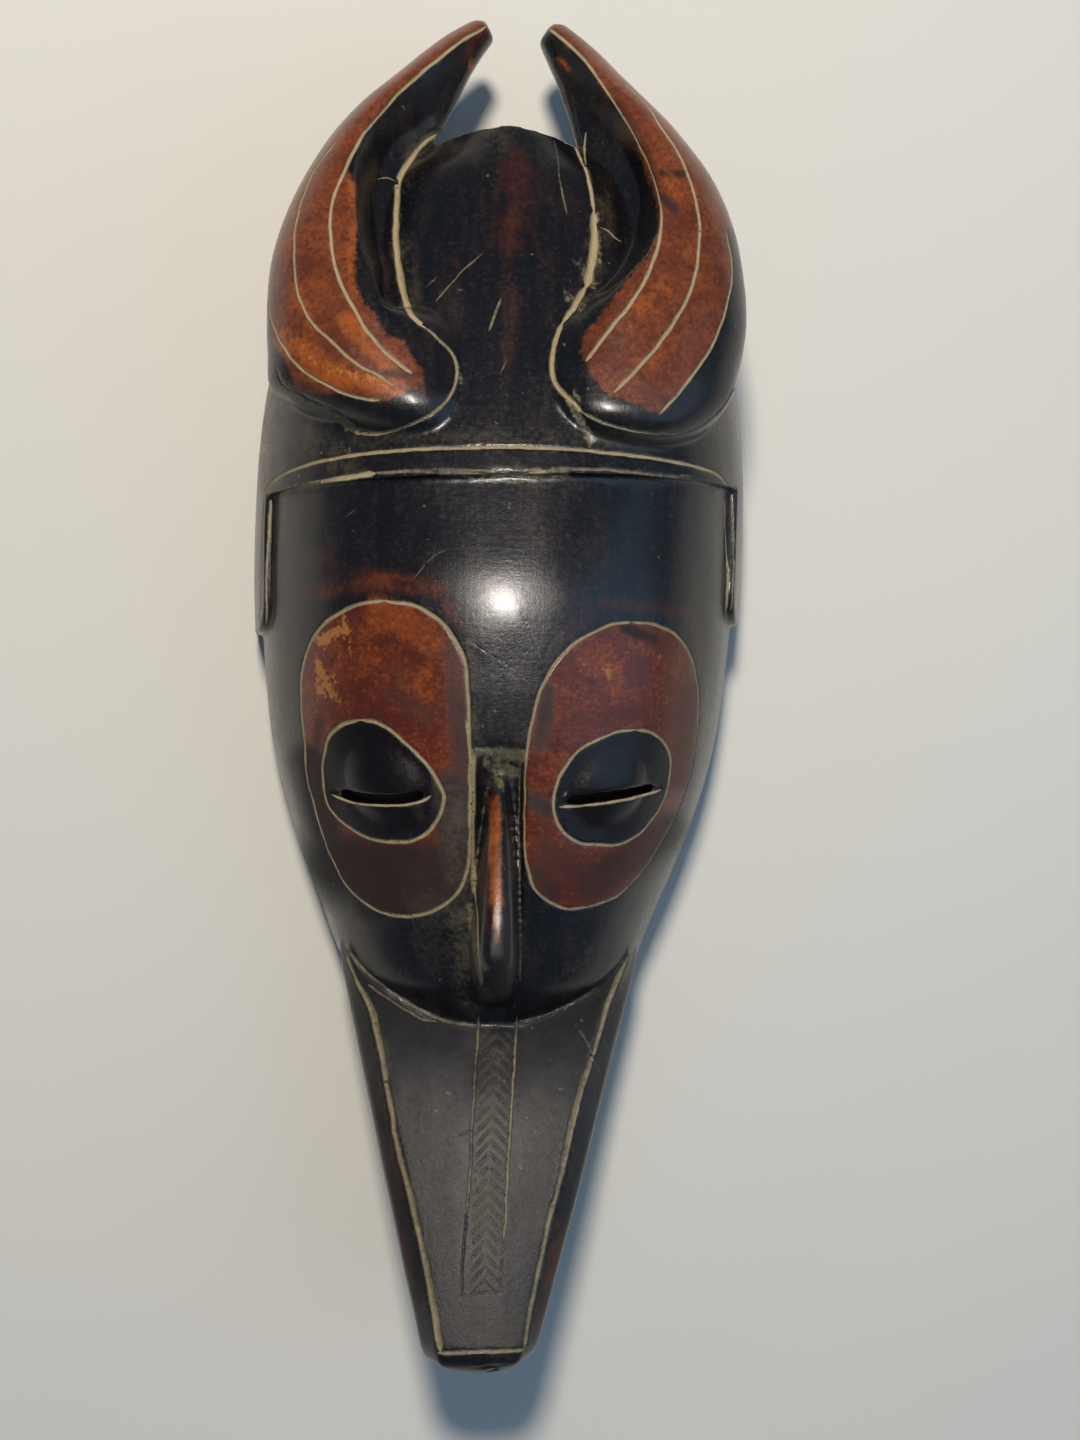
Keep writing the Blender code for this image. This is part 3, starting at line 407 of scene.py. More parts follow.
DUST_PATCHES = (
    (300, 402, 330, 416, 7, 0.70), (330, 416, 356, 430, 5, 0.75), (282, 392, 300, 402, 5, 0.45),
    (568, 398, 585, 430, 5, 0.80), (588, 428, 590, 444, 4, 0.75), (575, 392, 582, 404, 4, 0.50),
    (342, 446, 352, 454, 5, 0.50), (566, 295, 580, 306, 6, 0.55), (578, 262, 594, 285, 6, 0.60),
    (440, 473, 565, 474, 5, 0.80), (470, 480, 550, 480, 4, 0.50), (290, 489, 370, 474, 4, 0.90), (600, 468, 690, 477, 2.5, 0.40),
    (470, 905, 480, 975, 5, 0.65), (480, 752, 521, 756, 8, 0.85), (488, 764, 513, 772, 8, 0.80), (496, 778, 503, 788, 5, 0.70), (470, 800, 474, 880, 4, 0.45),
    (597, 215, 599, 260, 5, 0.55), (460, 375, 462, 395, 3, 0.35), (350, 508, 345, 516, 2, 0.30),
)
# Strokes of a pale greyish film: partly dust, partly painted sheen and highlights where the waxed wood would catch
# light, as down the sides of the face, above the band and along the snout's chevron band
DUST_AND_SHEEN_FILM = (
    (450, 790, 464, 900, 17, 0.85), (455, 900, 470, 1000, 16, 0.90), (484, 752, 518, 756, 9, 1.00),
    (500, 765, 497, 785, 7, 0.95), (270, 395, 268, 480, 16, 1.00), (295, 425, 340, 465, 20, 0.55), (360, 440, 640, 440, 12, 0.35),
    (430, 125, 445, 132, 9, 0.60), (412, 150, 402, 190, 8, 0.50), (404, 240, 418, 310, 8, 0.40),
    (604, 200, 608, 240, 8, 0.50), (596, 270, 575, 312, 9, 0.50), (280, 560, 300, 880, 10, 0.45),
    (700, 560, 690, 760, 8, 0.25), (420, 140, 500, 140, 16, 0.45), (380, 1060, 440, 1250, 14, 0.22),
    (420, 890, 440, 960, 20, 0.35), (560, 990, 590, 960, 14, 0.25), (345, 900, 370, 960, 14, 0.35),
    (405, 790, 440, 840, 6, 0.25), (470, 640, 474, 740, 5, 0.40), (500, 455, 520, 470, 8, 0.35),
    (460, 1300, 500, 1340, 22, 0.35), (496, 1040, 484, 1285, 17, 0.80), (540, 1100, 535, 1230, 16, 0.30),
)
CHIPS = (
    (300, 400, 332, 416, 7, 0.8), (332, 414, 356, 432, 6, 1.0), (570, 398, 586, 430, 5, 1.2),
    (587, 428, 590, 444, 4, 0.9), (596, 225, 590, 275, 5, 0.8), (566, 300, 578, 312, 5, 0.6),
    (344, 448, 350, 453, 4, 0.6), (486, 1362, 494, 1370, 4, 1.2), (495, 472, 525, 478, 4, 0.25),
    (474, 985, 478, 1005, 2.5, 0.8), (462, 972, 468, 974, 2.5, 0.6),
)
DARK_MARKS = (
    (662, 173, 682, 174, 5, 0.80), (664, 198, 676, 212, 6, 0.75), (300, 385, 340, 405, 6, 0.50),
    (450, 645, 460, 690, 11, 0.50), (456, 690, 464, 775, 13, 0.62), (547, 690, 541, 745, 10, 0.70),
    (560, 640, 548, 660, 4, 0.60), (532, 800, 546, 810, 11, 0.75), (538, 872, 552, 893, 12, 0.65),
    (625, 628, 655, 640, 7, 0.80), (330, 866, 450, 880, 40, 1.00), (308, 760, 330, 850, 20, 0.90),
    (452, 790, 462, 900, 22, 1.00), (370, 900, 430, 900, 24, 1.00), (590, 885, 670, 830, 22, 0.60),
    (545, 850, 600, 890, 16, 0.45), (690, 690, 680, 780, 12, 0.40), (395, 660, 400, 700, 10, 0.35),
    (320, 720, 312, 770, 7, 0.55), (570, 720, 640, 712, 10, 0.35), (384, 690, 430, 715, 12, 0.45),
    (385, 372, 408, 376, 5, 0.60), (400, 385, 412, 392, 5, 0.45), (670, 780, 680, 740, 10, 0.35),
    (500, 935, 502, 990, 12, 0.90), (640, 390, 665, 400, 8, 0.50), (587, 372, 597, 385, 5, 0.40), (330, 300, 345, 312, 6, 0.30),
)
PANEL = (
    (345, 952), (357, 982), (377, 1035), (390, 1107), (406, 1180), (421, 1246), (434, 1310), (440, 1352),
    (526, 1350), (535, 1290), (550, 1218), (570, 1132), (595, 1050), (617, 982), (629, 955), (592, 990),
    (556, 1008), (519, 1021), (474, 1025), (430, 1015), (390, 992),
)


class CarvingSizes(bpy.types.PropertyGroup):
    """Sizes of the carving that a maker would change."""

    coiffure_rise: FloatProperty(
        name="Coiffure rise", description="How far the coiffure stands proud of the face",
        default=0.0025, min=0.0, max=0.006, subtype="DISTANCE", unit="LENGTH")
    lid_swell: FloatProperty(
        name="Lid swell", description="How far the eyelids swell out of the face",
        default=0.0022, min=0.0, max=0.006, subtype="DISTANCE", unit="LENGTH")
    slit_width: FloatProperty(
        name="Slit width", description="Height of the opening in each eye",
        default=0.0026, min=0.0010, max=0.008, subtype="DISTANCE", unit="LENGTH")
    wall: FloatProperty(
        name="Wall", description="Thickness of the wood between face and hollow",
        default=0.0125, min=0.006, max=0.025, subtype="DISTANCE", unit="LENGTH")
    block_grain: FloatProperty(
        name="Block grain", description="Size of the cells in which the block is roughed out",
        default=0.0009, min=0.0005, max=0.003, subtype="DISTANCE", unit="LENGTH")
    softening: IntProperty(
        name="Softening", description="How many times the rough form is rubbed smooth", default=8, min=0, max=40)
    line_edge: FloatProperty(
        name="Edge at a line", description="Length of the mesh edges in an engraved line",
        default=0.00054, min=0.0002, max=0.002, subtype="DISTANCE", unit="LENGTH")
    waviness: FloatProperty(
        name="Waviness", description="Height of the low waves that the adze and knife leave",
        default=0.00022, min=0.0, max=0.001, subtype="DISTANCE", unit="LENGTH")


class FinishColours(bpy.types.PropertyGroup):
    """Colours and gloss of the stained and waxed wood."""

    black_wood: FloatVectorProperty(
        name="Black wood", description="The wood where it is stained black", subtype="COLOR",
        default=(0.0040, 0.0040, 0.0052), min=0.0, max=1.0)
    brown_black: FloatVectorProperty(
        name="Brown black", description="The black stain where it lets the wood through", subtype="COLOR",
        default=(0.0150, 0.0074, 0.0066), min=0.0, max=1.0)
    dark_red: FloatVectorProperty(
        name="Dark red", description="The stain where it is thick", subtype="COLOR",
        default=(0.060, 0.0130, 0.0062), min=0.0, max=1.0)
    red_brown: FloatVectorProperty(
        name="Red brown", description="The stain on the horns", subtype="COLOR",
        default=(0.170, 0.043, 0.0145), min=0.0, max=1.0)
    patch_red: FloatVectorProperty(
        name="Patch red", description="The stain round the eyes, redder than on the horns", subtype="COLOR",
        default=(0.125, 0.0180, 0.0048), min=0.0, max=1.0)
    orange_brown: FloatVectorProperty(
        name="Orange brown", description="The stain where it is rubbed thin", subtype="COLOR",
        default=(0.35, 0.086, 0.0100), min=0.0, max=1.0)
    ochre: FloatVectorProperty(
        name="Ochre", description="The wood itself where the stain is rubbed off", subtype="COLOR",
        default=(0.44, 0.185, 0.040), min=0.0, max=1.0)
    dust: FloatVectorProperty(
        name="Dust", description="Pale dust in the engraved lines", subtype="COLOR",
        default=(0.36, 0.285, 0.168), min=0.0, max=1.0)
    old_dust: FloatVectorProperty(
        name="Old dust", description="Darker dust where the lines are rubbed", subtype="COLOR",
        default=(0.135, 0.112, 0.066), min=0.0, max=1.0)
    raw_wood: FloatVectorProperty(
        name="Raw wood", description="The wood inside the hollow, dark with age", subtype="COLOR",
        default=(0.115, 0.062, 0.031), min=0.0, max=1.0)
    wax_roughness: FloatProperty(
        name="Wax roughness", description="Roughness of the waxed wood", default=0.31, min=0.05, max=1.0,
        subtype="FACTOR")


class StudioSettings(bpy.types.PropertyGroup):
    """The floor and the lights."""

    floor_colour: FloatVectorProperty(
        name="Floor", description="Colour of the floor", subtype="COLOR",
        default=(0.70, 0.68, 0.64), min=0.0, max=1.0)
    shine_power: FloatProperty(
        name="Small shine", description="Power of the small light that shines in the wax", default=9.0,
        min=0.0, unit="POWER")
    sheen_power: FloatProperty(
        name="Wide sheen", description="Power of the wide light round the small one", default=2.9, min=0.0,
        unit="POWER")
    lamp_power: FloatProperty(
        name="Lamp", description="Power of the soft warm lamp beyond the horns", default=14.8, min=0.0,
        unit="POWER")
    window_power: FloatProperty(
        name="Window light", description="Power of the cool light on the right", default=3.0, min=0.0,
        unit="POWER")
    sky_strength: FloatProperty(
        name="Room light", description="Strength of the even light all round", default=0.17, min=0.0)


def between(stations, at):
    """The values at one place along the stations, on a smooth curve through them."""
    places = [station[0] for station in stations]
    if at <= places[0]:
        return stations[0][1:]
    if at >= places[-1]:
        return stations[-1][1:]
    after = next(i for i, place in enumerate(places) if place > at)
    before = after - 1
    span = places[after] - places[before]
    share = (at - places[before]) / span
    values = []
    for column in range(1, len(stations[0])):
        ends = [stations[i][column] for i in (before, after)]
        slopes = [slope(stations, i, column) * span for i in (before, after)]
        values.append(hermite(share, ends, slopes))
    return tuple(values)


def slope(stations, i, column):
    """How fast one value changes at a station, from the stations on both sides."""
    low = max(i - 1, 0)
    high = min(i + 1, len(stations) - 1)
    return (stations[high][column] - stations[low][column]) / (stations[high][0] - stations[low][0])


def hermite(share, ends, slopes):
    """A cubic from one end to the other that leaves and arrives with the given slopes."""
    square, cube = share * share, share ** 3
    return (
        (2 * cube - 3 * square + 1) * ends[0]
        + (cube - 2 * square + share) * slopes[0]
        + (3 * square - 2 * cube) * ends[1]
        + (cube - square) * slopes[1]
    )


def steps(low, high, count):
    """Evenly spaced places from low to high."""
    return [low + (high - low) * i / (count - 1) for i in range(count)]


def eased(values, low, high):
    """0 below low, 1 above high, and a soft step between, for a whole array."""
    share = np.clip((values - low) / (high - low), 0, 1)
    return share * share * (3 - 2 * share)


def arch(half_width, height, squareness, sides, below):
    """Half a rounded section, from +X over to -X, as (x, z) pairs. Straight sides carry it below Z = 0."""
    foot = below * 0.15
    points = []
    for i in range(sides + 1):
        angle = math.pi * i / sides
        across = math.copysign(abs(math.cos(angle)) ** (2 / squareness), math.cos(angle))
        upwards = abs(math.sin(angle)) ** (2 / squareness)
        points.append((half_width * across, foot + (height - foot) * upwards))
    return points + [(-half_width, -below), (half_width, -below)]


def rest_all():
    """Leaves edit mode and selects nothing."""
    if bpy.context.object and bpy.context.object.mode != "OBJECT":
        bpy.ops.object.mode_set(mode="OBJECT")
    bpy.ops.object.select_all(action="DESELECT")


def take(piece):
    """Selects one piece alone and makes it active."""
    rest_all()
    piece.select_set(True)
    bpy.context.view_layer.objects.active = piece
    return piece


def apply_modifier(piece, kind, **settings):
    """Adds a modifier with these settings and applies it."""
    take(piece)
    modifier = piece.modifiers.new(kind.lower(), kind)
    for name, value in settings.items():
        setattr(modifier, name, value)
    bpy.ops.object.modifier_apply(modifier=modifier.name)


def rolled_skin(name, rings):
    """A closed skin: a grid laid along rings of points, joined at its seam and filled at both ends."""
    rest_all()
    bpy.ops.mesh.primitive_grid_add(x_subdivisions=len(rings[0]), y_subdivisions=len(rings) - 1)
    piece = bpy.context.object
    piece.name = name
    places = [point for ring in rings for point in (*ring, ring[0])]
    piece.data.vertices.foreach_set("co", np.array(places, float).ravel())
    bpy.ops.object.mode_set(mode="EDIT")
    bpy.ops.mesh.select_all(action="SELECT")
    bpy.ops.mesh.remove_doubles(threshold=0.000001)
    bpy.ops.mesh.fill_holes(sides=0)
    bpy.ops.mesh.select_all(action="SELECT")
    bpy.ops.mesh.normals_make_consistent(inside=False)
    bpy.ops.object.mode_set(mode="OBJECT")
    return piece


def combine(piece, tool, operation, folded=False):
    """Adds or cuts one shape, then throws the tool away. A folded tool passes through itself somewhere."""
    apply_modifier(piece, "BOOLEAN", operation=operation, solver="EXACT", object=tool, use_self=folded)
    bpy.data.objects.remove(tool)
    if not piece.data.polygons:
        raise RuntimeError("a Boolean left nothing of " + piece.name)


def head_ring(y, rise=0.0):
    """One section of the head. Near the crown's end it bends back to both sides of the low point."""
    half_width, height, squareness = between(HEAD, y)
    section = arch(half_width + rise, height + rise, squareness, HEAD_SIDES, BELOW_RIM + rise)
    bend = CROWN_SLANT * max(0.0, (y - CROWN_SLANT_Y) / (COIFFURE_ENDS[1] - CROWN_SLANT_Y))
    return [(x, y - bend * abs(x - CROWN_PEAK_X), z) for x, z in section]


def face_opening():
    """What the coiffure leaves free: all below the band, down to a strip along each temple."""
    outline = [(BAND_Y, 0.150), (BAND_Y, STRIP_HEIGHT)]
    for angle in steps(0, math.pi / 2, 12):
        outline.append((
            STRIP_END_Y + STRIP_END_RADIUS * (1 - math.sin(angle)),
            STRIP_HEIGHT - STRIP_END_RADIUS * (1 - math.cos(angle)),
        ))
    outline += [(STRIP_END_Y, -0.010), (-0.020, -0.010), (-0.020, 0.150)]
    half = 0.120
    opening = rolled_skin("face_opening", [[(x, y, z) for y, z in outline] for x in (-half, half)])
    about = Vector((0, BAND_Y, 0))
    opening.data.transform(
        Matrix.Translation(about) @ Matrix.Rotation(BAND_TURN, 4, "Z") @ Matrix.Translation(-about)
    )
    return opening


def horn_station(stations, at):
    """Everything about a horn at a place from 0, the end of its bulb, to 1, its tip."""
    numbered = [(float(i), *station) for i, station in enumerate(stations)]
    return between(numbered, at * (len(stations) - 1))


def horn_frame(stations, at):
    """The middle of a horn and the direction across it towards the inside, straight across at the bulb."""
    step = 0.01
    here = horn_station(stations, at)
    back = horn_station(stations, max(at - step, 0))
    ahead = horn_station(stations, min(at + step, 1))
    along = Vector((ahead[0] - back[0], ahead[1] - back[1], 0)).normalized()
    inwards = -1 if stations[0][0] > 0 else 1
    turned = min(at * (len(stations) - 1) / SECTION_TURN, 1.0)
    across = Vector((along.y, -along.x, 0)) * turned + Vector((1 - turned, 0, 0))
    return Vector((here[0], here[1], here[3])), across.normalized() * inwards


def horn_rise(across, crest, foot, reach, power):
    """Height of the section, from 0 to 1: a round outer side, a steep inner wall and its foot."""
    if across <= crest:
        return math.sqrt(max(0.0, 1 - ((crest - across) / (1 + crest)) ** 2))
    if across <= foot:
        return 1 - (1 - WALL_FOOT) * ((across - crest) / (foot - crest)) ** power
    return WALL_FOOT * max(0.0, 1 - (across - foot) / (reach - foot)) ** 0.6


def bulb_share(stations, at, length):
    """How full the horn is: it rounds off over a length, in stations, towards the end of its bulb."""
    along = min(at * (len(stations) - 1) / length, 1.0)
    return math.sqrt(max(0.0, 1 - (1 - along) ** 2))


def horn_ring(stations, at):
    """One section of a horn: outer side up to the crest, wall down to its foot, then underneath."""
    middle, across = horn_frame(stations, at)
    _, _, half_width, _, rise, depth, crest, foot = horn_station(stations, at)
    full = bulb_share(stations, at, 1.0)
    tall = bulb_share(stations, at, BULB_CREST)
    reach = max(1.0, foot + WALL_REACH)
    power = BULB_ROUND + (WALL_ROUND - BULB_ROUND) * min(at * (len(stations) - 1) / ROUND_UNTIL, 1.0)
    outer = [crest - (1 + crest) * math.cos(angle) for angle in steps(0, math.pi / 2, OUTER_SIDES)]
    wall = steps(crest, foot, WALL_SIDES)[1:]
    shelf = steps(foot, reach, SHELF_SIDES)[1:]
    section = [(spot, rise * horn_rise(spot, crest, foot, reach, power)) for spot in outer + wall + shelf]
    for angle in steps(0, math.pi, UNDER_SIDES)[1:-1]:
        spot = (reach - 1 + (reach + 1) * math.cos(angle)) / 2
        section.append((spot, -depth * math.sin(angle)))
    return [
        middle + across * half_width * full * spot + Vector((0, 0, height * tall))
        for spot, height in section
    ]


def horn(name, stations):
    bulb = [0.0012, 0.004, 0.008, 0.013, 0.019, 0.026, 0.034, 0.043, 0.053, 0.065, 0.078, 0.094]
    rings = [horn_ring(stations, at) for at in bulb + steps(0.111, 1, HORN_RINGS - len(bulb))]
    end = rings[-1]
    middle = sum(end, Vector()) / len(end)
    rings.append([middle.lerp(point, TIP_CLOSING) + Vector((0, TIP_LENGTH, 0)) for point in end])
    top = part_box("mask")[1].y
    for point in (point for ring in rings for point in ring):
        point.y = min(point.y, top)
    return rolled_skin(name, rings)


def snout_ring(y, scale=1.0, fall=0.0):
    half_width, panel, top, edge_fall, under = between(SNOUT, y)
    half_width, panel = half_width * scale, panel * scale
    panel_fall, more_fall, under_rise = (fall * share for share in SNOUT_FALLS)
    top = top - panel_fall
    edge = top - edge_fall - more_fall
    half = [(panel * share, top + PANEL_CROWN * (1 - share * share)) for share in steps(0, 1, 8)]
    half += [
        (half_width * 0.97, edge + 0.0012),
        (half_width, edge - 0.0012),
        (half_width * (1 + SNOUT_WAIST) / 2, (edge + under) / 2),
        (half_width * SNOUT_WAIST, under + 0.002),
        (half_width * SNOUT_FOOT_WAIST, under + under_rise),
    ]
    mirrored = [(-x, z) for x, z in reversed(half[1:])]
    skew = SNOUT_SKEW if fall else 0.0
    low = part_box("mask")[0].y
    return [(x, max(y + skew * x, low), z) for x, z in half + mirrored]


def snout():
    rings = [snout_ring(y, scale, fall) for y, scale, fall in reversed(SNOUT_TIP)]
    rings += [snout_ring(y) for y in steps(SNOUT[0][0], SNOUT[-1][0], SNOUT_RINGS)]
    return rolled_skin("snout", rings)


def nose():
    """A thin straight ridge that stands further out of the face as it comes down."""
    rings = []
    for y in steps(NOSE[0][0], NOSE[-1][0], NOSE_RINGS):
        half_width, ridge = between(NOSE, y)
        flank = NOSE_ROOT_Z + (ridge - NOSE_ROOT_Z) * 0.80
        side = [(1.6, NOSE_ROOT_Z), (1.0, flank), (0.72, ridge - 0.0030), (0.32, ridge - 0.0006)]
        section = [(-x, z) for x, z in side] + list(reversed(side))
        rings.append([(NOSE_X + half_width * x, y, z) for x, z in section])
    return rolled_skin("nose", rings)


def nose_channel():
    """The hollow cut beside the nose, deepest under the notch at its root."""
    rings = []
    for y, half_width, depth in NOSE_CHANNEL:
        top = between(HEAD, y)[1]
        section = (
            (-1.0, top), (-CHANNEL_FLOOR, top - depth), (CHANNEL_FLOOR, top - depth), (1.0, top),
            (1.0, top + 0.010), (-1.0, top + 0.010),
        )
        rings.append([(NOSE_X + half_width * x, y, z) for x, z in section])
    return rolled_skin("nose_channel", rings)


def face_height(x, y):
    """Height of the face's surface over a place in plan."""
    half_width, height, squareness = between(HEAD, y)
    inside = max(0.0, 1 - (abs(x) / half_width) ** squareness)
    return height * inside ** (1 / squareness)


def face_normal(x, y):
    step = 0.001
    rise_x = (face_height(x + step, y) - face_height(x - step, y)) / (2 * step)
    rise_y = (face_height(x, y + step) - face_height(x, y - step)) / (2 * step)
    return Vector((-rise_x, -rise_y, 1)).normalized()


def lid(place, swell):
    """The low swelling of an eyelid, a flattened ball set into the face."""
    x, y, across, along = place
    rest_all()
    bpy.ops.mesh.primitive_uv_sphere_add(segments=64, ring_count=32, radius=1)
    ball = bpy.context.object
    depth = swell * 4
    outwards = face_normal(x, y)
    seat = Vector((x, y, face_height(x, y))) - outwards * (depth - swell)
    turn = outwards.to_track_quat("Z", "Y").to_matrix().to_4x4()
    ball.data.transform(Matrix.Translation(seat) @ turn @ Matrix.Diagonal((across, along, depth, 1)))
    return ball


def hollow(wall):
    """The scooped back: the head's own form, smaller by the wall, open at the rim."""
    middle = sum(HOLLOW_ENDS) / 2
    half_length = (HOLLOW_ENDS[1] - HOLLOW_ENDS[0]) / 2
    rings = []
    for share in steps(HOLLOW_CLOSING, 1 - HOLLOW_CLOSING, HOLLOW_RINGS):
        y = middle - half_length * math.cos(math.pi * share)
        half_width, height, squareness = between(HEAD, y)
        full = math.sin(math.pi * share) ** HOLLOW_FULLNESS
        section = arch(
            (half_width - wall) * full,
            (height - wall) * (HOLLOW_LIP + full * (1 - HOLLOW_LIP)),
            squareness,
            HOLLOW_SIDES,
            BELOW_RIM * 3,
        )
        rings.append([(x, y, z) for x, z in section])
    return rolled_skin("hollow", rings)


def floor_block():
    """All that lies below the back rim, which is then cut off flat."""
    corners = [(-0.15, -0.30), (0.15, -0.30), (0.15, 0.30), (-0.15, 0.30)]
    return rolled_skin("below_the_rim", [[(x, y, z) for x, y in corners] for z in (-BELOW_RIM * 6, 0.0)])


def form_of(piece):
    """A search tree of a piece's surface as it stands."""
    bpy.context.view_layer.update()
    return BVHTree.FromObject(piece, bpy.context.evaluated_depsgraph_get())


def seen(form, u, v):
    """The point of the form that shows at a pixel, moved in a little where the pixel just misses it."""
    inwards = 1 if u < PHOTO_SIZE[0] / 2 else -1
    for nudge in range(0, 12):
        spot = u + nudge * inwards
        ray = LOOK + ACROSS * (spot - PHOTO_SIZE[0] / 2) / FOCAL_PIXELS
        ray -= UPWARDS * (v - PHOTO_SIZE[1] / 2) / FOCAL_PIXELS
        hit = form.ray_cast(CAMERA_PLACE, ray.normalized())[0]
        if hit is not None:
            return hit
    return None


def pixels_of(places):
    """Where places show in the photograph, for a whole array."""
    away = places - np.array(CAMERA_PLACE)
    depth = away @ np.array(LOOK)
    u = PHOTO_SIZE[0] / 2 + FOCAL_PIXELS * (away @ np.array(ACROSS)) / depth
    v = PHOTO_SIZE[1] / 2 - FOCAL_PIXELS * (away @ np.array(UPWARDS)) / depth
    return np.stack((u, v), 1)


def smooth_line(points, spacing):
    """A smooth line through a few points, at even steps along it."""
    reach = [0.0]
    for a, b in zip(points, points[1:]):
        reach.append(reach[-1] + math.dist(a, b))
    stations = [(place, *point) for place, point in zip(reach, points)]
    count = max(2, int(reach[-1] / spacing) + 1)
    return [between(stations, place) for place in steps(0, reach[-1], count)]


def slit(form, lip, width):
    """The opening of an eye just above its lower lip, pointed at both ends and cut through the wall."""
    line = [seen(form, u, v) for u, v in smooth_line(lip, 3.0)]
    low, high = [], []
    for i, point in enumerate(line):
        swell = math.sin(math.pi * i / (len(line) - 1))
        open_here = width * min(1.0, 2.2 * swell)
        low.append(point + Vector((0, SLIT_LEDGE, 0)))
        high.append(point + Vector((0, SLIT_LEDGE + open_here, 0)))
    outline = low + list(reversed(high[1:-1]))
    rings = [[Vector((point.x, point.y, z)) for point in outline] for z in (0.020, 0.105)]
    return rolled_skin("slit", rings)


def rough_block(sizes):
    """The whole form in one closed skin, before any line is engraved."""
    mask = rolled_skin("mask_carving", [head_ring(y) for y in steps(*HEAD_ENDS, HEAD_RINGS)])
    hair = rolled_skin(
        "coiffure", [head_ring(y, sizes.coiffure_rise) for y in steps(*COIFFURE_ENDS, HEAD_RINGS // 2)]
    )
    combine(hair, face_opening(), "DIFFERENCE")
    combine(mask, hair, "UNION")
    combine(mask, snout(), "UNION")
    combine(mask, nose_channel(), "DIFFERENCE")
    combine(mask, nose(), "UNION")
    for place in LIDS:
        combine(mask, lid(place, sizes.lid_swell), "UNION")
    combine(mask, horn("left_horn", LEFT_HORN), "UNION", folded=True)
    combine(mask, horn("right_horn", RIGHT_HORN), "UNION", folded=True)
    combine(mask, hollow(sizes.wall), "DIFFERENCE")
    combine(mask, floor_block(), "DIFFERENCE")
    form = form_of(mask)
    for lip in (LEFT_SLIT, RIGHT_SLIT):
        combine(mask, slit(form, lip, sizes.slit_width), "DIFFERENCE")
    take(mask)
    mask.data.remesh_voxel_size = sizes.block_grain
    bpy.ops.object.voxel_remesh()
    apply_modifier(mask, "SMOOTH", factor=0.5, iterations=sizes.softening)
    return mask


def chevron_lines():
    """The chevrons down the snout's band, each one groove with a peak."""
    lines = []
    for share in steps(0, 1, CHEVRONS):
        u = CHEVRON_FIRST[0] + (CHEVRON_LAST[0] - CHEVRON_FIRST[0]) * share
        v = CHEVRON_FIRST[1] + (CHEVRON_LAST[1] - CHEVRON_FIRST[1]) * share
        half = CHEVRON_HALF[0] + (CHEVRON_HALF[1] - CHEVRON_HALF[0]) * share
        wander = 1.5 * noise.noise(Vector((share * 9, 0, 0)))
        peak = (u + wander, v)
        for side in (-1, 1):
            drop = CHEVRON_DROP * (1 + 0.15 * noise.noise(Vector((share * 17, side, 3))))
            lines.append((0.42, 0.33, 0.04, (peak, (peak[0] + side * half * 0.94, v + drop))))
    return lines


class Grooves:
    """Every engraved line as close points on the form, with its width, depth and dust."""

    SPACING = 0.5

    def __init__(self, form):
        places, facts = [], []
        for number, (half_width, depth, dust, pixels) in enumerate((*LINES, *SCRATCHES, *chevron_lines())):
            line = smooth_line(pixels, self.SPACING)
            for i, (u, v) in enumerate(line):
                wander = noise.noise_vector(Vector((u * 0.06, v * 0.06, number * 7.3))) * 0.9
                point = seen(form, u + wander.x, v + wander.y)
                if point is None:
                    continue
                to_end = min(i, len(line) - 1 - i) * self.SPACING
                closing = min(1.0, 0.35 + to_end / 10)
                swell = 1 + 0.22 * noise.noise(Vector((u * 0.11, v * 0.11, number * 3.1)))
                places.append(point)
                facts.append((half_width * swell * closing, depth * swell * closing, dust))
        self.facts = np.array(facts)
        self.tree = KDTree(len(places))
        for i, point in enumerate(places):
            self.tree.insert(point, i)
        self.tree.balance()

    def near(self, places):
        """Distance in millimetres to the nearest line, and that line's half-width, depth and dust."""
        found = [self.tree.find(place) for place in places]
        distance = np.array([hit[2] for hit in found]) / MM
        return distance, self.facts[[hit[1] for hit in found]]

    def draw_in(self, mask):
        """Moves each vertex that lies close beside a line onto it, so the line's bottom is one clean edge."""
        places = array_of(mask.data.vertices, "co", 3)
        edges = array_of(mask.data.edges, "vertices", 2)
        length = np.linalg.norm(places[edges[:, 0]] - places[edges[:, 1]], axis=1)
        shortest = np.full(len(places), 1.0)
        np.minimum.at(shortest, edges[:, 0], length)
        np.minimum.at(shortest, edges[:, 1], length)
        for i, place in enumerate(places):
            spot, _, distance = self.tree.find(place)
            if distance < DRAW_IN * shortest[i]:
                places[i] = spot
        mask.data.vertices.foreach_set("co", places.ravel())


def array_of(mesh_part, name, size):
    """One property of all vertices or edges, as rows of an array."""
    kind = int if name == "vertices" else float
    values = np.empty(len(mesh_part) * size, kind)
    mesh_part.foreach_get(name, values)
    return values.reshape(-1, size)


